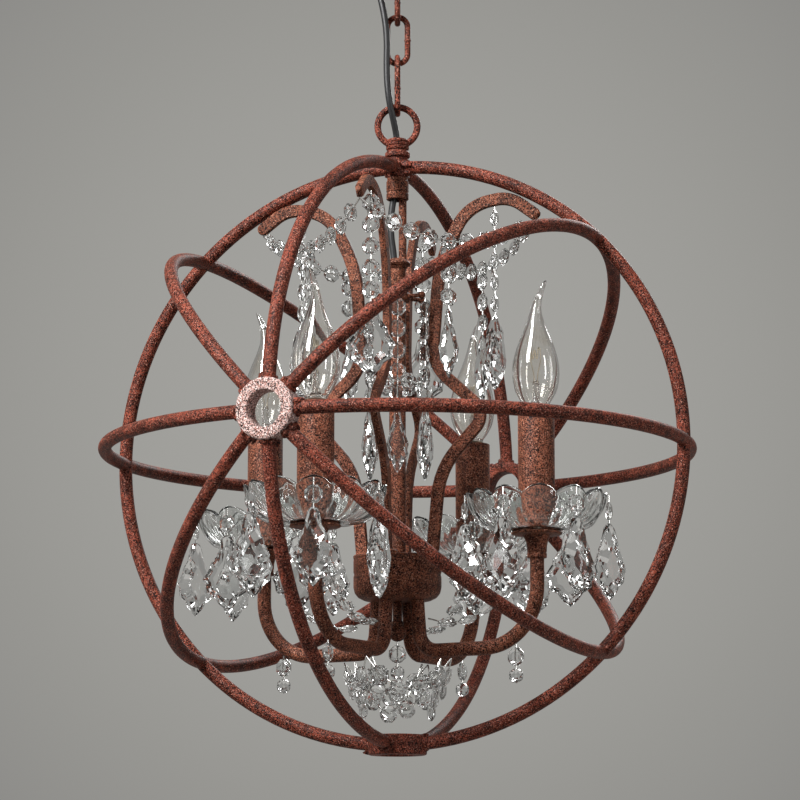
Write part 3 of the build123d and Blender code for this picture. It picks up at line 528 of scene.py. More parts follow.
@dataclass(frozen=True)
class PlainStock:
    """Bought-in stock with a fine grain: moulded plastic, drawn wire, plated or rolled metal."""

    name: str
    colour: str
    worn: str
    metallic: float
    roughness: float
    grain_mm: float
    grain: float

    def build(self) -> bpy.types.Material:
        """Make the material."""
        material, tree, coord = new_material(self.name)
        grain = add_node(
            tree, "ShaderNodeTexNoise", {"Scale": 1 / (self.grain_mm * MM), "Detail": 4.0},
            {"Vector": coord.outputs["Object"]},
        )
        colour = ramp(tree, grain.outputs["Fac"], [(0.35, linear(self.colour)), (0.75, linear(self.worn))])
        rough = add_node(
            tree, "ShaderNodeMapRange",
            {"To Min": self.roughness * 0.8, "To Max": min(1.0, self.roughness * 1.25)},
            {"Value": grain.outputs["Fac"]},
        )
        bump = add_node(
            tree, "ShaderNodeBump", {"Strength": self.grain, "Distance": 0.1 * MM},
            {"Height": grain.outputs["Fac"]},
        )
        shader = add_node(
            tree, "ShaderNodeBsdfPrincipled", {"Metallic": self.metallic},
            {"Base Color": colour.outputs["Color"], "Roughness": rough.outputs["Result"],
             "Normal": bump.outputs["Normal"]},
        )
        tree.links.new(shader.outputs["BSDF"], tree.nodes["Material Output"].inputs["Surface"])
        return material


@dataclass
class Finishes:
    """Every finish on the light, made once."""

    bar: bpy.types.Material = field(init=False)
    hub: bpy.types.Material = field(init=False)
    inner: bpy.types.Material = field(init=False)
    zinc: bpy.types.Material = field(init=False)
    cable: bpy.types.Material = field(init=False)
    holder: bpy.types.Material = field(init=False)
    wire: bpy.types.Material = field(init=False)
    cap: bpy.types.Material = field(init=False)
    filament: bpy.types.Material = field(init=False)
    crystal: bpy.types.Material = field(init=False)
    dish: bpy.types.Material = field(init=False)
    bulb: bpy.types.Material = field(init=False)

    def __post_init__(self) -> None:
        """Build the materials."""
        # hot-rolled round bar, sponged brown and rubbed: dark, with rust bloom
        self.bar = RustedIron("rusted_iron_bar", "#4b2117", "#8b4433", "#bb8473", pale_share=0.44).build()
        # the turned front hub, painted much paler than the bars and than its identical twins at the back and
        # bottom: a painted highlight where the lamps light the front
        self.hub = RustedIron("rusted_iron_hub_painted_highlight", "#96675c", "#bd8d82", "#f0dcd6", pale_share=0.9).build()
        # tube, sheet and castings inside the cage, with a warmer coat
        self.inner = RustedIron("rusted_iron_inner", "#532b1d", "#8c523c", "#b78670",
                                pale_share=0.46).build()
        # zinc plate on rolled strip: pale, faintly mottled
        self.zinc = PlainStock("zinc_plate", "#a9acad", "#c6c8c8", 1.0, 0.4, 2.0, 0.2).build()
        # soft PVC: black with a dull sheen
        self.cable = PlainStock("black_cable_pvc", "#0d0d0e", "#1c1c1e", 0.0, 0.45, 1.5, 0.2).build()
        # moulded phenolic: off-white, even
        self.holder = PlainStock("lampholder_moulding", "#d9d6cc", "#e6e3da", 0.0, 0.5, 1.2, 0.15).build()
        # drawn and plated pins: bright
        self.wire = PlainStock("bright_pin_wire", "#c9c9c6", "#e2e1dd", 1.0, 0.22, 1.0, 0.1).build()
        # nickel on brass, rolled thin
        self.cap = PlainStock("bulb_cap_nickel", "#b7b0a0", "#d2cbbb", 1.0, 0.3, 1.5, 0.15).build()
        # drawn tungsten, a warm grey to the eye
        self.filament = PlainStock("amber_filament", "#a79a84", "#c9bda6", 0.3, 0.4, 1.0, 0.1).build()
        # cut lead crystal: colourless, with flat polished facets
        self.crystal = ClearGlass("cut_lead_crystal", "#f4f6f6", 1.545, 12.0, 0.05).build()
        # pressed soda glass: a little uneven from its mould
        self.dish = ClearGlass("pressed_soda_glass", "#eef2f0", 1.5, 6.0, 0.25, 0.015).build()
        # blown bulb glass: thin, clear and glossy
        self.bulb = ClearGlass("blown_bulb_glass", "#f6f3ee", 1.62, 14.0, 0.05).build()


# ---------------------------------------------------------------------------------------------
# Levels, read from the frame so that every piece sits where the construction model has it
# ---------------------------------------------------------------------------------------------


def node_middle(node: str) -> Vector:
    """Middle of a node's box, in millimetres."""
    low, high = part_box(node)
    return (low + high) / 2 / MM


def node_span(node: str, axis: int = 2) -> tuple[float, float]:
    """Lowest and highest coordinate of a node along an axis, in millimetres."""
    low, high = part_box(node)
    return low[axis] / MM, high[axis] / MM


CAGE_Z = node_middle("equator_ring").z
CANDLE_AZIMUTHS = [-30.0, 60.0, 150.0, 240.0]
SCROLL_AZIMUTHS = [-15.0, 75.0, 165.0, 255.0]
SPIDER_AZIMUTHS = [30.0, 90.0, 150.0, 210.0, 270.0, 330.0]
LAMP_CIRCLE = 118.0


# ---------------------------------------------------------------------------------------------
# Ceiling mount and chain
# ---------------------------------------------------------------------------------------------


@dataclass
class CeilingMount:
    """Cup against the ceiling with its eye, and the strap, nut and bush inside it."""

    finishes: Finishes
    radius: float = 58.0
    depth: float = 30.0
    wall: float = 1.2
    corner: float = 9.0
    eye_radius: float = 11.0
    eye_wire: float = 2.5
    eye_level: float = -44.5
    stem_radius: float = 5.0
    stem_top: float = -7.05

    def cup(self) -> bpy.types.Object:
        """Turn the cup: a pressed shell with a rounded edge, an eased rim and a hole for the stem."""
        inner, outer = self.radius - self.wall, self.radius
        arc = [
            (outer - self.corner + self.corner * math.sin(math.radians(t)),
             -self.depth + self.corner - self.corner * math.cos(math.radians(t)))
            for t in range(0, 91, 10)
        ]
        small = self.corner - self.wall
        back = [
            (outer - self.corner + small * math.sin(math.radians(t)),
             -self.depth + self.corner - small * math.cos(math.radians(t)))
            for t in range(90, -1, -15)
        ]
        hole = self.stem_radius + 0.1
        profile = [(hole, -self.depth), *arc, (outer, -0.4), (outer - 0.4, 0.0), (inner, 0.0), *back,
                   (hole, -self.depth + self.wall)]
        return lathe(profile, 96, closed=True)

    def eye(self) -> bpy.types.Object:
        """Bend the eye and join it to its collar and threaded stem."""
        clear_hands()
        bpy.ops.mesh.primitive_torus_add(
            major_radius=self.eye_radius * MM, minor_radius=self.eye_wire * MM, major_segments=56,
            minor_segments=18, location=(0, 0, self.eye_level * MM), rotation=(math.pi / 2, 0, 0),
        )
        ring = bake_place(bpy.context.object)
        top = -self.depth - 0.05
        collar = lathe([(0, top - 5), (6.5, top - 5), (8.0, top - 3.5), (8.0, top - 0.4), (7.6, top),
                        (self.stem_radius, top), (self.stem_radius, top + 1.5)]
                       + self.thread(top + 1.5, self.stem_top - 0.8)
                       + [(self.stem_radius - 0.8, self.stem_top), (0, self.stem_top)], 40)
        return join([ring, collar])

    def thread(self, low: float, high: float) -> Profile:
        """Grooves of a thread, as rings a pitch apart."""
        pitch = 1.25
        turns = int((high - low) / pitch)
        grooves: Profile = []
        for turn in range(turns):
            z = low + pitch * turn
            grooves += [(self.stem_radius - 0.45, z + pitch * 0.5), (self.stem_radius, z + pitch)]
        return grooves

    def build(self) -> None:
        """Make and dress the pieces of the mount."""
        f = self.finishes
        hand_over(self.cup(), "ceiling_cup", f.bar, "ceiling_mount", ("canopy",))
        hand_over(self.eye(), "cup_eye", f.bar, "ceiling_mount", ("canopy_loop",))
        for node, material in (("ceiling_strap", f.zinc), ("canopy_loop_nut", f.zinc),
                               ("cable_bush", f.cable)):
            dress_node(node, material)


def dress_node(node: str, material: bpy.types.Material) -> None:
    """Give a node of the construction model, whose shape is right, its finish."""
    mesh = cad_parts[node].data
    mesh.materials.clear()
    mesh.materials.append(material)
    log.info("%s: kept, with %s", node, material.name)


@dataclass
class Chain:
    """Three welded links, each with the bead of its weld half way down one side."""

    finishes: Finishes
    wire: float = 2.25
    width: float = 20.0
    levels: tuple[tuple[float, float], ...] = ((-50.45, -87.45), (-82.65, -119.65), (-114.85, -159.35))

    def link(self, high: float, low: float, edge_on: bool) -> bpy.types.Object:
        """Bend one link from round wire.

        Args:
            high: level of the wire's middle line at the top.
            low: the same at the bottom.
            edge_on: True when the link lies in the plane of Y and Z.

        Returns:
            The closed link.
        """
        end = self.width / 2 - self.wire
        straight = (high - end) - (low + end)
        obj = start_circle(Vector((end, 0, low + end)), Vector((0, 0, 1)), self.wire, 16)
        drag(Vector((0, 0, straight * 0.45)) * MM)
        # the weld: a slightly proud, uneven bead, then back to the wire's own size
        weld = ((0.02, 1.1), (0.03, 1.08), (0.03, 0.96), (0.02, 0.9))
        middle = tuple(Vector((end, 0, 0)) * MM)
        for step, size in weld:
            drag(Vector((0, 0, straight * step)) * MM)
            bpy.ops.transform.resize(value=(size, size, 1), center_override=middle)
        back = 1 / math.prod(size for _, size in weld)
        bpy.ops.transform.resize(value=(back, back, 1), center_override=middle)
        drag(Vector((0, 0, straight * 0.45)) * MM)
        bpy.ops.mesh.spin(steps=18, angle=math.pi, center=(0, 0, (high - end) * MM), axis=(0, 1, 0))
        drag(Vector((0, 0, -straight)) * MM)
        bpy.ops.mesh.spin(steps=18, angle=math.pi, center=(0, 0, (low + end) * MM), axis=(0, 1, 0))
        shut(obj)
        if edge_on:
            obj.rotation_euler = (0, 0, math.pi / 2)
        return bake_place(obj)

    def build(self) -> None:
        """Make and dress the links."""
        for number, (high, low) in enumerate(self.levels, start=1):
            node = f"chain_link_{number}"
            piece = self.link(high, low, edge_on=number != 2)
            hand_over(piece, f"link_{number}", self.finishes.bar, node, (node,))


@dataclass
class TopRing:
    """Ring on its grooved knuckle, the flange under it and the drum of the cage."""

    finishes: Finishes
    ring_radius: float = 15.15
    wire: float = 2.6
    ring_level: float = -169.35
    knuckle_top: float = -179.5

    def ring(self) -> bpy.types.Object:
        """Turn the ring and its knuckle with three grooves and a hollow stem."""
        clear_hands()
        bpy.ops.mesh.primitive_torus_add(
            major_radius=self.ring_radius * MM, minor_radius=self.wire * MM, major_segments=72,
            minor_segments=20, location=(0, 0, self.ring_level * MM), rotation=(math.pi / 2, 0, 0),
        )
        ring = bake_place(bpy.context.object)
        top = self.knuckle_top
        low = top - 9.0
        stem_low = node_span("top_loop")[0]
        knuckle = lathe(
            [(3.5, top), (6.6, top), (7.8, top - 0.6), (8.6, top - 1.6), (8.6, top - 2.4),
             (8.0, top - 2.9), (9.0, top - 3.6), (9.0, top - 5.2), (8.1, top - 5.8), (8.8, top - 6.5),
             (8.8, top - 7.6), (8.2, low + 0.4), (7.6, low), (5.0, low), (5.0, stem_low + 0.6),
             (4.5, stem_low), (3.5, stem_low)],
            48, closed=True,
        )
        return join([ring, knuckle])

    def flange(self) -> bpy.types.Object:
        """Turn the flange: a collar under the knuckle, worn at its edges."""
        low, high = node_span("loop_collar")
        return lathe([(5.1, low), (8.9, low), (9.6, low + 0.8), (9.6, high - 2.2), (8.6, high - 1.2),
                      (8.2, high - 0.3), (7.6, high), (5.1, high)], 48, closed=True)

    def drum(self) -> bpy.types.Object:
        """Turn the drum that the upright bars are welded to."""
        low, high = node_span("top_hub")
        return lathe([(5.1, low), (7.2, low), (8.0, low + 0.9), (8.0, high - 0.9), (7.2, high), (5.1, high)],
                     48, closed=True)

    def build(self) -> None:
        """Make and dress the pieces."""
        f = self.finishes
        hand_over(self.ring(), "top_ring", f.bar, "orb", ("top_loop",))
        hand_over(self.flange(), "top_flange", f.bar, "orb", ("loop_collar",))
        hand_over(self.drum(), "top_drum", f.bar, "orb", ("top_hub",))


# ---------------------------------------------------------------------------------------------
# Cage
# ---------------------------------------------------------------------------------------------


@dataclass
class Cage:
    """Five rings of round bar and the three open hubs that they are welded to."""

    finishes: Finishes
    radius: float = 220.0
    bar: float = 5.0
    hub_azimuth: float = 246.0
    cross_azimuth: float = -17.0
    hub_radius: float = 22.0
    bore: float = 13.2
    hub_length: float = 15.0
    drum_radius: float = 8.0
    lean: float = 45.0

    def arc(self, plane: Matrix, start: float, end: float) -> bpy.types.Object:
        """Bend one arc of bar.

        Args:
            plane: turns the XY plane into the ring's plane, in millimetres.
            start: where the arc begins, in degrees from the plane's X way.
            end: where it ends.

        Returns:
            The arc with closed ends, in place.
        """
        a = math.radians(start)
        place = Vector((math.cos(a), math.sin(a), 0)) * self.radius
        way = Vector((-math.sin(a), math.cos(a), 0))
        obj = start_circle(place, way, self.bar, 20)
        steps = max(8, round((end - start) / 2.0))
        bpy.ops.mesh.spin(steps=steps, angle=-math.radians(end - start), center=(0, 0, 0), axis=(0, 0, 1))
        bpy.ops.mesh.edge_face_add()
        bpy.ops.mesh.select_all(action="DESELECT")
        select_vertices(obj, lambda v: (v - place * MM).length < self.bar * MM * 1.02
                        and abs((v - place * MM).dot(way)) < 1e-6)
        bpy.ops.mesh.edge_face_add()
        shut(obj)
        obj.data.transform(plane)
        return obj

    def weld(self, plane: Matrix, angle: float, inwards: float) -> bpy.types.Object:
        """Lay an uneven bead of weld round a bar where it meets a hub.

        Args:
            plane: the ring's plane.
            angle: where on the ring, in degrees.
            inwards: 1 or -1, the side of the joint that the bar comes from.

        Returns:
            The bead, in place.
        """
        clear_hands()
        bpy.ops.mesh.primitive_torus_add(
            major_radius=self.bar * 0.99 * MM, minor_radius=1.0 * MM, major_segments=24, minor_segments=8
        )
        obj = bake_place(bpy.context.object)
        edit(obj, "DESELECT")
        for blob in range(5):
            turn = math.tau * blob / 5 + angle
            towards = Vector((math.cos(turn), math.sin(turn), 0))
            select_vertices(obj, lambda v: v.normalized().dot(towards) > 0.93)
            bpy.ops.transform.resize(value=(1.06, 1.06, 1.35), center_override=(0, 0, 0))
        shut(obj)
        a = math.radians(angle)
        place = Vector((math.cos(a), math.sin(a), 0)) * self.radius
        way = Vector((-math.sin(a), math.cos(a), 0)) * inwards
        obj.data.transform(plane @ frame_at(place, Vector((0, 0, 1)), way))
        return obj

    def ring(self, plane: Matrix, gaps: list[tuple[float, float]]) -> bpy.types.Object:
        """Make a ring of arcs with gaps where hubs stand; where bars cross, they run through each other.

        Args:
            plane: the ring's plane.
            gaps: middle and half width of each gap, in degrees, in order round the ring.

        Returns:
            The ring as one mesh.
        """
        parts = []
        for (middle, half), (after, after_half) in zip(gaps, gaps[1:] + [(gaps[0][0] + 360, gaps[0][1])]):
            parts.append(self.arc(plane, middle + half, after - after_half))
            parts.append(self.weld(plane, middle + half + 0.2, 1))
            parts.append(self.weld(plane, after - after_half - 0.2, -1))
        return join(parts)

    def hub(self) -> bpy.types.Object:
        """Turn one open hub: worn round edges outside, a crisp chamfer in the bore."""
        h, r, b = self.hub_length / 2, self.hub_radius, self.bore
        return lathe([(b + 0.8, -h), (r - 1.6, -h), (r - 0.6, -h + 0.35), (r - 0.1, -h + 1.1),
                      (r, -h + 2.2), (r, h - 2.2), (r - 0.1, h - 1.1), (r - 0.6, h - 0.35), (r - 1.6, h),
                      (b + 0.8, h), (b + 0.2, h - 0.25), (b, h - 0.8), (b, -h + 0.8),
                      (b + 0.2, -h + 0.25)], 96, closed=True)

    def gap_of(self, radius: float) -> float:
        """Half angle, in degrees, that a hub of a radius takes out of a ring."""
        return math.degrees(math.asin((radius - 0.6) / self.radius))

    def build(self) -> None:
        """Make and dress the rings and hubs."""
        f = self.finishes
        centre = Matrix.Translation(Vector((0, 0, CAGE_Z)) * MM)
        front = rounds(self.hub_azimuth, 1, 0)
        up = Vector((0, 0, 1))
        hub_gap = self.gap_of(self.hub_radius)
        drum_gap = self.gap_of(self.drum_radius)

        def plane(x_way: Vector, y_way: Vector) -> Matrix:
            return centre @ frame_at(Vector((0, 0, 0)), x_way, x_way.cross(y_way))

        upright_plane = plane(front, up)
        four = [(0.0, hub_gap), (90.0, drum_gap), (180.0, hub_gap), (270.0, hub_gap)]
        hand_over(self.ring(upright_plane, four), "upright_ring_bar", f.bar, "orb",
                  ("upright_ring",))
        cross = rounds(self.cross_azimuth, 1, 0)
        hand_over(self.ring(plane(up, -cross), [(0.0, drum_gap), (180.0, hub_gap)]), "cross_ring_bar",
                  f.bar, "orb", ("cross_ring",))
        side = rounds(self.hub_azimuth + 90, 1, 0)
        two = [(0.0, hub_gap), (180.0, hub_gap)]
        hand_over(self.ring(plane(front, side), two), "equator_ring_bar", f.bar, "orb",
                  ("equator_ring",))
        for letter, sign in (("a", 1.0), ("b", -1.0)):
            leaned = side * math.cos(math.radians(self.lean)) - up * sign * math.sin(math.radians(self.lean))
            hand_over(self.ring(plane(front, leaned), two), f"leaned_ring_{letter}_bar", f.bar, "orb",
                      (f"diagonal_ring_{letter}",))
        pattern = self.hub()
        places = [
            frame_at(rounds(azimuth, self.radius, CAGE_Z), up, rounds(azimuth, 1, 0))
            for azimuth in (self.hub_azimuth, self.hub_azimuth + 180)
        ] + [frame_at(Vector((0, 0, CAGE_Z - self.radius)), front, -up)]
        front_hub, *others = copy_to(pattern, places)
        throw_away(pattern)
        # painted highlight: only the front hub takes the pale finish, and its identical copies at the back
        # and bottom take the bar's darker one
        hand_over(front_hub, "front_hub", f.hub, "orb", ("cage_hubs",))
        hand_over(join(others), "back_and_bottom_hubs", f.bar, "orb", ("cage_hubs",))


# ---------------------------------------------------------------------------------------------
# Column, bowl and arms
# ---------------------------------------------------------------------------------------------


@dataclass
class Column:
    """Everything on the axis: nipple, rod, knob, tube, spider, lid, bowl and finial."""

    finishes: Finishes
    tube: float = 6.4
    bowl_radius: float = 33.0
    spider_reach: float = 24.0
    peg_start: float = 9.5
    peg_radius: float = 1.6
    peg_ball: float = 2.8
    finial_radius: float = 6.5

    def nipple(self) -> bpy.types.Object:
        """Turn the nipple under the drum, with a groove round its body and a neck on top."""
        low, high = node_span("hanger_coupling")
        return lathe([(7.0, low), (8.0, low), (8.5, low + 0.6), (8.5, low + 4.5), (8.0, low + 5.0),
                      (8.0, low + 5.8), (8.5, low + 6.3), (8.5, high - 3.0), (7.9, high - 2.4),
                      (7.9, high), (5.2, high), (5.2, high - 8.0), (7.0, high - 8.0)], 40, closed=True)

    def knob(self) -> bpy.types.Object:
        """Turn the knob on top of the column."""
        low, high = node_span("column_cap")
        return lathe([(0, low), (6.0, low), (7.2, low + 0.8), (7.4, low + 1.6), (9.4, low + 2.6),
                      (10.0, low + 4.0), (9.4, low + 5.4), (7.8, low + 6.6), (6.2, low + 7.4),
                      (4.5, high), (0, high)], 40)

    def pipe(self) -> bpy.types.Object:
        """Turn the column's tube with a slight flare at each end."""
        low, high = node_span("column")
        t = self.tube
        return lathe([(t - 1.0, low), (t, low), (t, low + 1.0), (t - 0.15, low + 2.5),
                      (t - 0.15, high - 2.5), (t, high - 1.0), (t, high), (t - 1.0, high)],
                     40, closed=True)

    def spider(self) -> bpy.types.Object:
        """Turn the spider's hub and set its balled pegs in it."""
        low, high = node_span("crystal_spider")
        hub = lathe([(6.5, low), (9.2, low), (10.0, low + 1.0), (10.0, high - 1.0), (9.2, high),
                     (6.5, high)], 40, closed=True)
        pegs = [hub]
        middle = (low + high) / 2
        for azimuth in SPIDER_AZIMUTHS:
            way = rounds(azimuth, 1, 0)
            peg = start_circle(rounds(azimuth, self.peg_start, middle), way, self.peg_radius, 12)
            drag(way * (self.spider_reach - self.peg_start - 2.0) * MM)
            shut(peg)
            r = self.peg_ball
            half_round = [math.pi * k / 10 for k in range(11)]
            ball = lathe([(r * math.sin(turn), -r * math.cos(turn)) for turn in half_round], 16)
            ball.data.transform(Matrix.Translation(rounds(azimuth, self.spider_reach - r, middle) * MM))
            pegs += [peg, ball]
        return join(pegs)

    def bowl(self) -> bpy.types.Object:
        """Turn the spun bowl: a rolled rim, a straight wall and a rounded foot."""
        low, high = node_span("bowl")
        r, wall = self.bowl_radius, 1.5
        return lathe([(3.7, low), (20.0, low), (25.5, low + 0.6), (29.5, low + 2.6), (32.0, low + 5.8),
                      (r, low + 10.0), (r, low + 18.0), (r - 0.5, low + 19.0), (r - 0.5, low + 20.2),
                      (r, low + 21.2), (r, high - 0.8), (r - 0.5, high), (r - wall, high),
                      (r - wall, low + 10.0), (r - wall - 2.0, low + 5.0), (25.0, low + 2.2),
                      (20.0, low + wall), (3.7, low + wall)], 72, closed=True)

    def lid(self) -> bpy.types.Object:
        """Turn the lid with a small step and a rounded edge."""
        low, high = node_span("bowl_lid")
        r = self.bowl_radius
        return lathe([(3.0, low), (r - 0.4, low), (r, low + 0.4), (r, high - 0.7), (r - 0.7, high - 0.1),
                      (r - 2.5, high), (3.0, high)], 72, closed=True)

    def finial(self) -> bpy.types.Object:
        """Turn the stem and ball under the bowl."""
        low, high = node_span("bowl_finial")
        r = self.finial_radius
        ball = low + r
        turns = [math.radians(t) for t in range(0, 141, 14)]
        bulge = [(r * math.sin(turn), ball - r * math.cos(turn)) for turn in turns]
        return lathe(bulge + [(4.2, ball + 5.9), (5.0, ball + 7.4), (3.5, ball + 9.2), (3.5, high - 6),
                              (3.5, high), (0, high)], 36)

    def build(self) -> None:
        """Make and dress the pieces on the axis."""
        f = self.finishes
        for piece, name, node in (
            (self.nipple(), "top_nipple", "hanger_coupling"),
            (self.knob(), "column_knob", "column_cap"), (self.pipe(), "column_tube", "column"),
            (self.spider(), "crystal_spider_pegs", "crystal_spider"), (self.bowl(), "arm_bowl", "bowl"),
            (self.lid(), "arm_bowl_lid", "bowl_lid"), (self.finial(), "finial_ball", "bowl_finial"),
        ):
            hand_over(piece, name, f.inner, "orb", (node,))
        dress_node("hanger_rod", f.inner)
        dress_node("inner_cable", f.cable)
        dress_node("terminal_block", f.holder)
        dress_node("lamp_leads", f.cable)


@dataclass
class Arms:
    """Four scroll arms of flat bar on edge and four candle arms of bent tube."""

    finishes: Finishes
    scroll_half_width: float = 4.7
    scroll_thickness: float = 5.0
    scroll_corners: tuple[tuple[float, float], ...] = (
        (27.0, -79.45), (33.0, -14.0), (70.0, 27.0), (27.0, 66.0), (33.0, 144.0), (55.0, 187.0),
        (88.0, 192.5), (107.0, 178.0),
    )
    scroll_bends: tuple[float, ...] = (60.0, 14.0, 34.0, 105.0, 34.0, 26.0)
    candle_tube: float = 5.25
    candle_drop: float = 151.0
    inner_bend: float = 15.0
    outer_bend: float = 44.0

    def upright_points(self, corners: tuple[tuple[float, float], ...], azimuth: float) -> list[Vector]:
        """Corners in an upright plane as points of the frame."""
        return [rounds(azimuth, r, CAGE_Z + z) for r, z in corners]

    def build(self) -> None:
        """Make and dress the arms."""
        f = self.finishes
        for number, azimuth in enumerate(SCROLL_AZIMUTHS, start=1):
            points = self.upright_points(self.scroll_corners, azimuth)
            flat = (rounds(azimuth + 90, 1, 0), self.scroll_thickness)
            arm = bend_tube(points, list(self.scroll_bends), self.scroll_half_width, 16, (False, True), flat)
            foot = lathe([(0, 0.0), (7.2, 0.0), (7.2, 1.2), (6.4, 2.2), (5.0, 2.8), (0, 2.8)], 28)
            foot.data.transform(Matrix.Translation((points[0] + Vector((0, 0, 0.05))) * MM))
            hand_over(join([arm, foot]), f"scroll_{number}", f.inner, "orb",
                      (f"scroll_arm_{number}",))
        for number, azimuth in enumerate(CANDLE_AZIMUTHS, start=1):
            points = self.upright_points(self.candle_route(), azimuth)
            arm = bend_tube(points, [self.inner_bend, self.outer_bend], self.candle_tube, 20)
            hand_over(arm, f"lamp_arm_{number}", f.inner, "orb", (f"candle_arm_{number}",))

    def candle_route(self) -> tuple[tuple[float, float], ...]:
        """Corners of a candle arm, as distance and height above the middle of the cage."""
        start = node_span("bowl")[0] - 0.05 - CAGE_Z
        end = node_span("drip_pans")[0] + 9.0 - CAGE_Z
        low = -self.candle_drop
        return ((17.0, start), (20.0, low), (LAMP_CIRCLE, low), (LAMP_CIRCLE, end))


# ---------------------------------------------------------------------------------------------
# Lamps: pan, dish, sleeve, holder and bulb
# ---------------------------------------------------------------------------------------------


@dataclass
class Lamps:
    """Four candle lamps, each turned once as a pattern and copied round the axis."""

    finishes: Finishes
    petals: int = 12
    flutes: int = 36
    dish_radius: float = 52.0
    petal_depth: float = 6.5
    bulb_height: float = 96.0
    tail_reach: float = 9.0

    def pan(self) -> bpy.types.Object:
        """Turn the drip pan: a shallow plate with a rolled edge on a tapered neck."""
        low, high = node_span("drip_pans")
        base, neck = high - 2.0, low
        profile = [(5.3, neck), (6.8, neck), (7.2, neck + 0.5), (7.2, neck + 3.2), (6.6, neck + 3.8),
                   (7.2, neck + 4.6), (7.3, neck + 8.5), (7.9, neck + 11.5), (9.2, neck + 14.5),
                   (10.0, base - 0.6), (12.5, base), (17.4, base), (18.2, base + 0.3),
                   (18.5, base + 0.9), (18.5, high - 0.5), (18.1, high), (16.6, high - 0.2),
                   (5.0, high - 0.2), (5.0, neck + 9.1), (5.3, neck + 9.1)]
        return lathe(profile, 56, closed=True)

    def dish(self) -> bpy.types.Object:
        """Turn the glass dish, then press its petals and flutes into it."""
        low, high = node_span("glass_dish_1")
        depth = high - low
        r = self.dish_radius
        under = [(6.0, low), (12.0, low), (17.5, low + 0.2), (19.5, low + 0.6)]
        outer = [(19.0 + (r - 19.0) * math.sin(t * math.pi / 2) ** 0.9,
                  low + depth * (1 - math.cos(t * math.pi / 2)) ** 1.02)
                 for t in (0.14, 0.24, 0.34, 0.44, 0.54, 0.64, 0.74, 0.84, 0.92)]
        rim = [(r - 0.3, high - 1.6), (r, high - 0.6), (r - 0.8, high), (r - 2.4, high - 0.1),
               (r - 3.6, high - 1.0)]
        inner = [(max(17.0, a - 3.4), z + 3.4 - 1.2 * k / 9) for k, (a, z) in enumerate(reversed(outer))]
        floor = [(16.5, low + 4.0), (6.0, low + 4.0)]
        obj = lathe(under + outer + rim + inner + floor, self.petals * 12, closed=True)
        for vertex in obj.data.vertices:
            radius = math.hypot(vertex.co.x, vertex.co.y)
            angle = math.atan2(vertex.co.y, vertex.co.x)
            out = max(0.0, (radius / MM - 22.0) / (r - 22.0))
            # lobes with a point between them, deepest at the rim
            lobe = abs(math.cos(angle * self.petals / 2))
            drop = (1 - lobe) ** 1.1 * self.petal_depth * out**2.2
            # three fine ribs fan out along each lobe and fade towards the floor
            rib = math.cos(angle * self.flutes) * 0.45 * min(1.0, out * 3.0)
            scale = 1.0 - (1 - lobe) * 0.055 * out**2
            vertex.co.z += rib * 0.4 * MM
            vertex.co.x *= scale
            vertex.co.y *= scale
            vertex.co.z -= drop * MM
        floor_z = low * MM
        for vertex in obj.data.vertices:
            vertex.co.z = max(vertex.co.z, floor_z)
        return obj

    def sleeve(self) -> bpy.types.Object:
        """Turn the sleeve: a thin tube whose top is turned in."""
        low, high = node_span("candle_sleeves")
        return lathe([(12.3, low), (13.1, low), (13.5, low + 0.5), (13.5, high - 0.8),
                      (13.2, high - 0.2), (12.7, high), (10.4, high), (10.3, high - 0.6),
                      (10.4, high - 1.2), (12.3, high - 1.2)], 56, closed=True)

    def holder(self) -> bpy.types.Object:
        """Turn the lampholder on its stem, with ribs round its skirt."""
        low, high = node_span("lampholders")
        base = node_span("candle_sleeves")[0] + 0.3
        ribs = []
        z = base + 4.0
        while z < high - 4.0:
            ribs += [(10.5, z), (10.5, z + 2.2), (10.1, z + 2.6), (10.1, z + 3.4)]
            z += 4.0
        return lathe([(1.6, low), (4.9, low), (4.9, base), (12.2, base), (12.2, base + 3.0),
                      (10.5, base + 3.2)]
                     + ribs + [(10.5, high - 0.8), (10.0, high), (7.2, high), (7.2, high - 27.0),
                               (1.6, high - 27.0)],
                     40, closed=True)

    def glass(self, base: float) -> bpy.types.Object:
        """Blow the bulb: a pear with a drawn tail that leans outwards, and an inner wall."""
        h = self.bulb_height
        pear = [(8.2, 0.0), (8.4, 1.5), (9.6, 3.2), (11.0, 5.0), (13.1, 8.5), (14.9, 12.0), (16.2, 16.0),
                (17.0, 20.0), (17.4, 24.0), (17.5, 27.0), (17.3, 31.0), (16.7, 35.5), (15.7, 40.0),
                (14.3, 45.0), (12.4, 50.0), (10.4, 55.0), (8.3, 60.0), (6.5, 65.0), (5.0, 70.0),
                (3.9, 75.0), (3.2, 80.0), (2.7, 85.0), (2.2, 89.5), (1.7, 92.8), (0.9, 95.2),
                (0.0, 96.0)]
        wall = 0.8
        inside = [(max(0.0, r - wall), z if z > 2 else 0.9) for r, z in pear if z <= 85.0]
        inside = [(r, min(z, 84.0)) for r, z in inside] + [(0.0, 86.0)]
        outer = lathe([(0.0, 0.0)] + pear, 48)
        inner = lathe([(0.0, 0.9)] + inside, 40)
        edit(inner)
        bpy.ops.mesh.flip_normals()
        bpy.ops.object.mode_set(mode="OBJECT")
        obj = join([outer, inner, self.mount()])
        for vertex in obj.data.vertices:
            along = max(0.0, (vertex.co.z / MM / h - 0.70) / 0.30)
            vertex.co.x += self.tail_reach * MM * along**2.1
        obj.data.transform(Matrix.Translation(Vector((0, 0, base)) * MM))
        return obj

    def mount(self) -> bpy.types.Object:
        """Draw the solid glass mount that carries the filament's supports."""
        return lathe([(0, 1.0), (6.6, 1.0), (4.2, 3.5), (2.9, 8.0), (2.3, 15.0), (2.6, 18.5),
                      (1.8, 21.0), (0, 21.6)], 24)

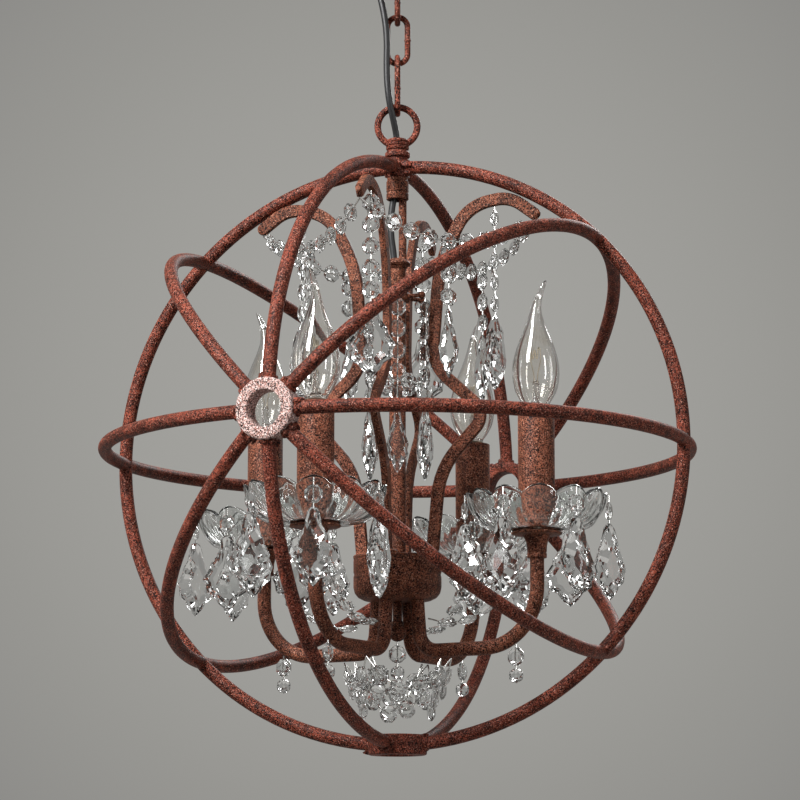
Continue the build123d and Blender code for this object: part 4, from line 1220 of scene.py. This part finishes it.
    def cap(self, base: float) -> bpy.types.Object:
        """Turn the screw cap with its rolled thread and its contact."""
        turns: Profile = []
        z = base - 15.5
        while z < base - 4.0:
            turns += [(6.9, z), (6.9, z + 0.7), (6.2, z + 1.6), (6.2, z + 2.0)]
            z += 2.8
        return lathe([(0, base - 21.0), (2.6, base - 21.0), (2.8, base - 20.2), (4.4, base - 19.2),
                      (6.2, base - 17.2)]
                     + turns + [(6.9, base - 2.4), (8.0, base - 0.9), (8.15, base - 0.02),
                                (0, base - 0.02)], 40)

    def works(self, base: float) -> bpy.types.Object:
        """Bend the filament's supports and coil."""
        parts = []
        for side in (-1.0, 1.0):
            points = [Vector((side * 1.0, 0, base + 19.0)), Vector((side * 1.6, 0, base + 26.0)),
                      Vector((side * 4.2, 0, base + 36.0)), Vector((side * 3.6, 0, base + 44.0))]
            parts.append(bend_tube(points, [10.0, 10.0], 0.3, 8))
        coil = [Vector((-3.7, 0, base + 43.5)), Vector((-2.4, 0.3, base + 34.0)),
                Vector((-0.9, -0.3, base + 47.0)), Vector((0.9, 0.3, base + 34.0)),
                Vector((2.4, -0.3, base + 47.0)), Vector((3.7, 0, base + 43.5))]
        parts.append(bend_tube(coil, [0.5, 0.5, 0.5, 0.5], 0.45, 8))
        return join(parts)

    def build(self) -> None:
        """Make the patterns, copy them round and dress them."""
        f = self.finishes
        glass_base = node_span("lampholders")[1] + 6.0
        spots = [upright(azimuth, LAMP_CIRCLE, 0.0) for azimuth in CANDLE_AZIMUTHS]
        for maker, name, material, slot, node in (
            (self.pan, "drip_pan", f.inner, "rusty_iron", "drip_pans"),
            (self.sleeve, "candle_sleeve", f.inner, "rusty_iron", "candle_sleeves"),
            (self.holder, "lampholder", f.holder, "white_plastic", "lampholders"),
        ):
            pattern = maker()
            for number, piece in enumerate(copy_to(pattern, spots), start=1):
                hand_over(piece, f"{name}_{number}", material, "orb", (node,))
            throw_away(pattern)
        dish = self.dish()
        for number, piece in enumerate(copy_to(dish, spots), start=1):
            hand_over(piece, f"glass_dish_petals_{number}", f.dish, f"dish_{number}",
                      (f"glass_dish_{number}",))
        throw_away(dish)
        for maker, name, material in (
            (self.glass, "bulb_glass", f.bulb), (self.cap, "bulb_cap", f.cap),
            (self.works, "bulb_filament", f.filament),
        ):
            pattern = maker(glass_base)
            for number, piece in enumerate(copy_to(pattern, spots), start=1):
                hand_over(piece, f"{name}_{number}", material, f"bulb_{number}",
                          (f"bulb_{number}",))
            throw_away(pattern)


# ---------------------------------------------------------------------------------------------
# Crystals
# ---------------------------------------------------------------------------------------------


class Ending(Enum):
    """What hangs at the foot of a straight strand."""

    LEAF = "leaf"
    SLIM = "slim"
    BALL = "ball"


@dataclass
class Group:
    """Crystals and pins of one node, gathered before they are joined."""

    node: str
    body: str
    glass: list[bpy.types.Object] = field(default_factory=list)
    pins: list[bpy.types.Object] = field(default_factory=list)


@dataclass
class Crystals:
    """Octagon beads, leaf drops and balls on pins, strung as on the construction model."""

    finishes: Finishes
    bead_flats: float = 13.0
    pitch: float = 16.5
    pin: float = 0.6
    drop: tuple[float, float, float] = (38.0, 57.0, 12.0)
    slim: tuple[float, float, float] = (17.0, 52.0, 9.0)
    ball_radius: float = 5.5
    gap: float = 2.0
    clearance: float = 0.3
    pin_reach: float = 1.5
    swag_sag: float = 24.0
    swag_strand_beads: int = 3
    strand_beads: int = 5
    strand_circle: float = 76.0
    strand_rise: float = 185.2
    collar_circle: float = 16.5
    collar_rise: float = 52.0
    neck_radius: float = 7.2
    garland_sag: float = 20.0
    garland_foot: tuple[float, float] = (26.5, -127.0)
    arm_ball_circle: float = 100.0
    arm_ball_rise: float = -149.4
    bottom_loops: tuple[tuple[float, float], ...] = ((46.0, 24.0), (37.0, 38.0))
    drop_turns: tuple[float, ...] = (-40.0, 15.0, -20.0, 40.0, -15.0, 20.0)
    half_outline: tuple[tuple[float, float], ...] = (
        (0.10, 0.03), (0.13, 0.08), (0.17, 0.22), (0.33, 0.36), (0.36, 0.44), (0.50, 0.58),
        (0.44, 0.66), (0.42, 0.76), (0.25, 0.83), (0.17, 0.91),
    )

    def __post_init__(self) -> None:
        """Cut the patterns."""
        self.bead = self.cut_bead()
        self.leaf = self.cut_leaf(*self.drop)
        self.slim_leaf = self.cut_leaf(*self.slim)
        self.ball = self.cut_ball()
        self.needle = self.draw_pin()

    def cut_bead(self) -> bpy.types.Object:
        """Cut an octagon bead: a girdle, and on each side two rows of facets round a table."""
        radius = self.bead_flats / 2 / math.cos(math.pi / 8)
        clear_hands()
        bpy.ops.mesh.primitive_cylinder_add(
            vertices=8, radius=radius * MM, depth=0.9 * MM, rotation=(0, 0, math.pi / 8),
            end_fill_type="NGON"
        )
        obj = bake_place(bpy.context.object)
        for side in (1, -1):
            edit(obj, "DESELECT")
            select_faces(obj, lambda c, n: n.z * side > 0.9)
            for size, reach, turn in ((0.80, 1.15, math.pi / 8), (0.66, 0.9, math.pi / 8)):
                drag(Vector((0, 0, side * reach * MM)))
                bpy.ops.transform.resize(value=(size, size, 1), center_override=(0, 0, 0))
                bpy.ops.transform.rotate(value=turn, orient_axis="Z", center_override=(0, 0, 0))
            bpy.ops.object.mode_set(mode="OBJECT")
        edit(obj)
        return shut(obj)

    def cut_leaf(self, width: float, length: float, thickness: float) -> bpy.types.Object:
        """Cut a leaf drop that hangs from the origin, its faces to Z.

        Args:
            width: across its widest place, in millimetres.
            length: from its top to its point.
            thickness: between its two tables.

        Returns:
            The drop.
        """
        right = [(x * width, -y * length) for x, y in self.half_outline]
        outline = [(0.0, 0.0), *right, (0.0, -length), *[(-x, y) for x, y in reversed(right)]]
        clear_hands()
        bpy.ops.mesh.primitive_circle_add(vertices=len(outline), radius=MM, fill_type="NGON")
        obj = bpy.context.object
        for vertex, (x, y) in zip(obj.data.vertices, outline):
            vertex.co = Vector((x, y, -0.4)) * MM
        edit(obj)
        drag(Vector((0, 0, 0.8 * MM)))
        bpy.ops.mesh.select_all(action="SELECT")
        bpy.ops.mesh.normals_make_consistent(inside=False)
        middle = (0, -0.56 * length * MM, 0)
        steps = ((0.94, 0.30), (0.76, 0.52), (0.86, 0.18))
        for side in (1, -1):
            bpy.ops.object.mode_set(mode="OBJECT")
            edit(obj, "DESELECT")
            select_faces(obj, lambda c, n: n.z * side > 0.9)
            for size, share in steps:
                drag(Vector((0, 0, side * (thickness / 2 - 0.4) * share * MM)))
                bpy.ops.transform.resize(value=(size, size, 1), center_override=middle)
        bpy.ops.mesh.select_all(action="SELECT")
        return shut(obj)

    def cut_ball(self) -> bpy.types.Object:
        """Cut a ball with flat facets."""
        clear_hands()
        bpy.ops.mesh.primitive_ico_sphere_add(subdivisions=2, radius=self.ball_radius * MM)
        return bake_place(bpy.context.object)

    def draw_pin(self) -> bpy.types.Object:
        """Draw a pin of unit length up from the origin."""
        obj = start_circle(Vector((0, 0, 0)), Vector((0, 0, 1)), self.pin, 8)
        bpy.ops.mesh.edge_face_add()
        drag(Vector((0, 0, 1)) * MM)
        return shut(obj)

    def add_beads(self, group: Group, places: list[tuple[Vector, Vector, Vector]]) -> None:
        """Add beads, each with its place, strand way and face way."""
        group.glass += copy_to(self.bead, [frame_at(place, along, face) for place, along, face in places])

    def add_pin(self, group: Group, start: Vector, end: Vector) -> None:
        """Add a pin between two points."""
        length = (end - start).length
        side = Vector((0, 1, 0)) if abs((end - start).normalized().y) < 0.9 else Vector((1, 0, 0))
        place = frame_at(start, side, end - start) @ Matrix.Diagonal((1, 1, length, 1))
        group.pins += copy_to(self.needle, [place])

    def hang(
        self, group: Group, top: Vector, beads: int, out: Vector, ending: Ending, to_first: float = 9.0,
        drop_turn: float = 0.0,
    ) -> None:
        """Hang a straight strand.

        Args:
            group: the group that it belongs to.
            top: its upper end.
            beads: how many beads.
            out: the way that their faces look.
            ending: what hangs at its foot.
            to_first: from the top to the middle of the first bead.
            drop_turn: degrees that the drop has turned from that way.
        """
        down = Vector((0, 0, 1))
        places = [(top - down * (to_first + self.pitch * n), down, out) for n in range(beads)]
        self.add_beads(group, places)
        end = top - down * (to_first + self.pitch * (beads - 1) + self.bead_flats / 2 + self.gap)
        if ending is Ending.BALL:
            group.glass += copy_to(self.ball, [Matrix.Translation((end - down * self.ball_radius) * MM)])
        else:
            pattern = self.leaf if ending is Ending.LEAF else self.slim_leaf
            face = Matrix.Rotation(math.radians(drop_turn), 3, "Z") @ out
            group.glass += copy_to(pattern, [frame_at(end, down.cross(face), face)])
        self.add_pin(group, top, end - down * self.pin_reach)

    def sagging(self, start: Vector, end: Vector, sag: float) -> list[Vector]:
        """Bead places on a strand that hangs from start to end."""
        shares = [step / 200 for step in range(201)]
        curve = [start.lerp(end, t) - Vector((0, 0, 4 * sag * t * (1 - t))) for t in shares]
        run = [0.0]
        for before, after in zip(curve, curve[1:]):
            run.append(run[-1] + (after - before).length)
        count = max(2, round(run[-1] / self.pitch))
        places = []
        for number in range(count + 1):
            wanted = run[-1] * number / count
            places.append(curve[min(range(len(run)), key=lambda i: abs(run[i] - wanted))])
        return places

    def string(self, group: Group, start: Vector, end: Vector, sag: float) -> list[Vector]:
        """String beads from start to end with a sag, and return their places."""
        places = self.sagging(start, end, sag)
        beads = []
        for before, place, after in zip(places, places[1:], places[2:]):
            along = (after - before).normalized()
            out = Vector((place.x, place.y, 0))
            face = out - along * out.dot(along)
            beads.append((place, along, face if face.length > 0.1 else Vector((0, 0, 1))))
        self.add_beads(group, beads)
        for before, after in zip(places, places[1:]):
            self.add_pin(group, before, after)
        return places

    def close(self, group: Group) -> None:
        """Join a group's crystals and pins and hand them over."""
        f = self.finishes
        glass = join(group.glass)
        hand_over(glass, f"{group.node}_cut", f.crystal, group.body, (group.node,), Shade.CUT)
        hand_over(join(group.pins), f"{group.node}_pins", f.wire, group.body, (group.node,))

    def swags(self) -> None:
        """Swags between the scroll tips, each with a short strand at its middle."""
        group = Group("crystal_swags", "orb")
        tip_circle, tip_rise = Arms.scroll_corners[-1]
        level = CAGE_Z + tip_rise - Arms.scroll_half_width - self.clearance - self.pin
        for azimuth in SCROLL_AZIMUTHS:
            start, end = (rounds(turn, tip_circle, level) for turn in (azimuth, azimuth + 90))
            places = self.string(group, start, end, self.swag_sag)
            middle = min(places, key=lambda place: place.z)
            self.hang(group, middle, self.swag_strand_beads, Vector((middle.x, middle.y, 0)), Ending.SLIM)
        self.close(group)

    def column(self) -> None:
        """Strands under the spider's pegs, and a collar of beads round the column."""
        group = Group("column_crystals", "orb")
        low, high = node_span("crystal_spider")
        peg = (low + high) / 2
        for azimuth in SPIDER_AZIMUTHS:
            top = rounds(azimuth, Column.spider_reach, peg - Column.peg_ball - 0.05)
            self.hang(group, top, self.strand_beads, rounds(azimuth, 1, 0), Ending.SLIM)
        collar = [rounds(60.0 * n, self.collar_circle, CAGE_Z + self.collar_rise) for n in range(6)]
        self.add_beads(group, [
            (place, rounds(60.0 * n + 90, 1, 0), rounds(60.0 * n, 1, 0)) for n, place in enumerate(collar)
        ])
        for before, after in zip(collar, collar[1:] + collar[:1]):
            self.add_pin(group, before, after)
        self.close(group)

    def garlands(self) -> None:
        """Garlands over the candle arms, and a ball under each arm."""
        group = Group("arm_garlands", "orb")
        neck = node_span("drip_pans")[0]
        foot_circle, foot_rise = self.garland_foot
        for azimuth in CANDLE_AZIMUTHS:
            start = rounds(azimuth, LAMP_CIRCLE - self.neck_radius - self.clearance - self.pin, neck + 2)
            self.string(group, start, rounds(azimuth, foot_circle, CAGE_Z + foot_rise), self.garland_sag)
            under_arm = rounds(azimuth, self.arm_ball_circle, CAGE_Z + self.arm_ball_rise)
            self.hang(group, under_arm, 1, rounds(azimuth + 90, 1, 0), Ending.BALL)
        self.close(group)

    def bottom(self) -> None:
        """Loops from arm to arm under the bowl, and a ball under the finial."""
        group = Group("bottom_crystals", "orb")
        level = CAGE_Z - Arms.candle_drop - Arms.candle_tube - self.clearance - self.pin
        for azimuth in CANDLE_AZIMUTHS:
            for reach, sag in self.bottom_loops:
                self.string(group, rounds(azimuth, reach, level), rounds(azimuth + 90, reach, level), sag)
        low = node_span("bowl_finial")[0]
        self.hang(group, Vector((0, 0, low - self.clearance)), 1, Vector((0, -1, 0)), Ending.BALL)
        self.close(group)

    def strands(self) -> None:
        """Strands that hang and swing under the scroll arches."""
        for number, azimuth in enumerate(SCROLL_AZIMUTHS, start=1):
            group = Group(f"crystal_strand_{number}", f"strand_{number}")
            top = rounds(azimuth, self.strand_circle, CAGE_Z + self.strand_rise)
            self.hang(group, top, self.strand_beads, rounds(azimuth, 1, 0), Ending.LEAF)
            self.close(group)

    def dish_drops(self) -> None:
        """Six leaf drops round each dish, each under a bead."""
        rim = node_span("glass_dish_1")[1]
        for number, azimuth in enumerate(CANDLE_AZIMUTHS, start=1):
            group = Group(f"dish_drops_{number}", f"dish_{number}")
            middle = rounds(azimuth, LAMP_CIRCLE, rim - 2.0)
            for drop, turn in enumerate(self.drop_turns):
                out = rounds(azimuth + 60.0 * (drop + 0.5), 1, 0)
                hook = middle + out * (Lamps.dish_radius + self.clearance + self.pin)
                self.hang(group, hook, 1, out, Ending.LEAF, to_first=12.0, drop_turn=turn)
            self.close(group)

    def build(self) -> None:
        """Make every group and put the patterns away."""
        self.swags()
        self.column()
        self.garlands()
        self.bottom()
        self.strands()
        self.dish_drops()
        for pattern in (self.bead, self.leaf, self.slim_leaf, self.ball, self.needle):
            throw_away(pattern)


# ---------------------------------------------------------------------------------------------
# Cable beside the chain
# ---------------------------------------------------------------------------------------------


@dataclass
class SupplyCable:
    """Black cable from the cup's bush to the knuckle, drawn in four stretches, one for each hinge."""

    finishes: Finishes
    diameter: float = 5.0
    route: tuple[Point, ...] = (
        (-19.0, 0.0, -25.05), (-19.0, -0.4, -48.0), (-12.5, -7.0, -70.0), (-7.8, -9.5, -98.0),
        (-8.5, -9.5, -128.0), (-6.8, -10.5, -150.5), (-3.2, -6.0, -165.0), (0.0, 0.0, -180.0),
        (0.0, 0.0, -192.5),
    )
    cuts: tuple[float, ...] = (-71.5, -103.5, -139.5)
    hinges: tuple[float, ...] = (-55.5, -87.45, -119.65, -159.35)
    bodies: tuple[str, ...] = ("ceiling_mount", "chain_link_1", "chain_link_2", "chain_link_3", "orb")

    def centreline(self) -> list[Vector]:
        """Points along the route's smooth curve, in metres."""
        data = bpy.data.curves.new("cable_route", "CURVE")
        data.dimensions = "3D"
        data.resolution_u = 24
        spline = data.splines.new("NURBS")
        spline.points.add(len(self.route) - 1)
        for point, place in zip(spline.points, self.route):
            point.co = (*[x * MM for x in place], 1.0)
        spline.order_u = 3
        spline.use_endpoint_u = True
        line = bpy.data.objects.new("cable_route", data)
        bpy.context.collection.objects.link(line)
        mesh = bpy.data.meshes.new_from_object(line)
        points = [v.co.copy() for v in mesh.vertices]
        throw_away(line)
        return points

    def tube(self, points: list[Vector]) -> bpy.types.Object:
        """Draw a tube of the cable's diameter along points in metres."""
        data = bpy.data.curves.new("cable_stretch", "CURVE")
        data.dimensions = "3D"
        data.bevel_depth = self.diameter / 2 * MM
        data.bevel_resolution = 5
        data.use_fill_caps = True
        spline = data.splines.new("POLY")
        spline.points.add(len(points) - 1)
        for point, place in zip(spline.points, points):
            point.co = (*place, 1.0)
        curve = bpy.data.objects.new("cable_stretch", data)
        bpy.context.collection.objects.link(curve)
        hold(curve)
        bpy.ops.object.convert(target="MESH")
        return bpy.context.object

    def build(self) -> None:
        """Make the stretches, cut where the route passes each level in cuts, and give them the cable's
        finish.
        """
        points = self.centreline()
        stretches: list[list[Vector]] = [[]]
        for point in points:
            stretches[-1].append(point)
            if len(stretches) <= len(self.cuts) and point.z < self.cuts[len(stretches) - 1] * MM:
                stretches.append([point])
        for number, (stretch, hinge) in enumerate(zip(stretches, self.hinges), start=1):
            piece = self.tube(stretch)
            piece.name = f"supply_cable_{number}"
            piece.data.name = piece.name
            piece.data.materials.clear()
            piece.data.materials.append(self.finishes.cable)
            bpy.ops.object.shade_smooth_by_angle(angle=math.radians(60))
            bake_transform(piece)
            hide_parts("supply_cable")


# ---------------------------------------------------------------------------------------------
# Studio
# ---------------------------------------------------------------------------------------------


CAMERA_RISE = 0.1655  # how far the camera looks up, in radians


def seen_or_through_glass(tree: bpy.types.NodeTree) -> bpy.types.NodeSocket:
    """Make a socket that is 1 where a thing is seen directly, in a shiny surface or through glass."""
    path = add_node(tree, "ShaderNodeLightPath")
    socket = path.outputs["Is Camera Ray"]
    for kind in ("Is Glossy Ray", "Is Transmission Ray"):
        larger = add_node(tree, "ShaderNodeMath", links={0: socket, 1: path.outputs[kind]},
                          operation="MAXIMUM")
        socket = larger.outputs[0]
    return socket


@dataclass
class Studio:
    """Plain grey surround, pale floor, soft lamps and the camera below the light."""

    floor_level: float = -1.75
    backdrop_low: str = "#8d8c89"
    backdrop_middle: str = "#979692"
    backdrop_high: str = "#a3a29e"

    def camera(self) -> None:
        """Stand the camera 2.4 m from the cage, below it and looking up."""
        data = bpy.data.cameras.new("camera")
        data.lens = 143.0
        data.sensor_width = 36.0
        data.clip_end = 50.0
        camera = bpy.data.objects.new("camera", data)
        camera.location = (0.0019, -2.371, CAGE_Z * MM - 0.356)
        camera.rotation_euler = (math.pi / 2 + CAMERA_RISE, 0.0, 0.0)
        bpy.context.collection.objects.link(camera)
        bpy.context.scene.camera = camera

    def floor(self) -> None:
        """Lay the floor: pale to the eye and through glass, matte paint that throws less light up."""
        clear_hands()
        bpy.ops.mesh.primitive_plane_add(size=9.0, location=(0, 0, self.floor_level))
        plane = bake_place(bpy.context.object)
        plane.name = "studio_floor"
        paint = PlainStock("studio_floor_paint", "#8b8985", "#94928e", 0.0, 0.8, 120.0, 0.02).build()
        tree = paint.node_tree
        pale = add_node(tree, "ShaderNodeEmission", {"Color": linear("#b4b2ae"), "Strength": 1.0})
        matte = tree.nodes["Material Output"].inputs["Surface"].links[0].from_socket
        both = add_node(tree, "ShaderNodeMixShader",
                        links={"Fac": seen_or_through_glass(tree), 1: matte, 2: pale.outputs["Emission"]})
        tree.links.new(both.outputs["Shader"], tree.nodes["Material Output"].inputs["Surface"])
        plane.data.materials.append(paint)

    def lamp(self, name: str, place: Point, size: tuple[float, float], power: float) -> None:
        """Hang a soft box of some width and height that looks at the cage."""
        data = bpy.data.lights.new(name, "AREA")
        data.shape = "RECTANGLE"
        data.size, data.size_y = size
        data.energy = power
        lamp = bpy.data.objects.new(name, data)
        lamp.location = place
        towards = Vector((0, 0, CAGE_Z * MM)) - Vector(place)
        lamp.rotation_euler = towards.to_track_quat("-Z", "Y").to_euler()
        bpy.context.collection.objects.link(lamp)

    def surround(self) -> None:
        """Make the world: the backdrop where it is seen, plain light elsewhere."""
        world = bpy.data.worlds.new("studio")
        world.use_nodes = True
        bpy.context.scene.world = world
        tree = world.node_tree
        tree.nodes.clear()
        coord = add_node(tree, "ShaderNodeTexCoord")
        spread = add_node(tree, "ShaderNodeVectorMath",
                          {1: (0.0, math.cos(CAMERA_RISE), math.sin(CAMERA_RISE))},
                          {0: coord.outputs["Generated"]}, operation="DOT_PRODUCT")
        share = add_node(tree, "ShaderNodeMapRange", {"From Min": 0.984, "From Max": 1.0},
                         {"Value": spread.outputs["Value"]})
        look = ramp(tree, share.outputs["Result"],
                    [(0.0, linear(self.backdrop_low)), (0.45, linear(self.backdrop_middle)),
                     (0.95, linear(self.backdrop_high))])
        seen = add_node(tree, "ShaderNodeBackground", {"Strength": 1.0}, {"Color": look.outputs["Color"]})
        plain = add_node(tree, "ShaderNodeBackground", {"Color": linear("#f2f1ee"), "Strength": 0.04})
        both = add_node(tree, "ShaderNodeMixShader",
                        links={"Fac": seen_or_through_glass(tree), 1: plain.outputs["Background"],
                               2: seen.outputs["Background"]})
        output = add_node(tree, "ShaderNodeOutputWorld")
        tree.links.new(both.outputs["Shader"], output.inputs["Surface"])

    def build(self) -> None:
        """Set up the whole studio."""
        self.camera()
        self.floor()
        self.surround()
        self.lamp("key", (-1.35, -1.5, 1.25), (0.7, 1.5), 150.0)
        self.lamp("fill", (1.7, -1.6, 0.1), (0.25, 1.6), 13.0)
        self.lamp("left", (-2.3, -0.2, -0.3), (0.3, 1.8), 7.0)
        self.lamp("right", (2.3, -0.3, -0.2), (0.3, 1.8), 6.0)
        self.lamp("overhead", (0.2, -0.2, 1.5), (1.6, 1.6), 12.0)
        self.lamp("back", (0.9, 1.9, 0.9), (0.8, 0.8), 26.0)
        bpy.context.scene.view_settings.view_transform = "Standard"


def main() -> None:
    """Build the studio, the cable and then every piece of the light."""
    logging.basicConfig(level=logging.INFO, format="%(message)s")
    finishes = Finishes()
    Studio().build()
    for part in (
        SupplyCable(finishes), CeilingMount(finishes), Chain(finishes), TopRing(finishes),
        Cage(finishes), Column(finishes), Arms(finishes), Lamps(finishes), Crystals(finishes),
    ):
        part.build()


if __name__ == "__main__":
    main()
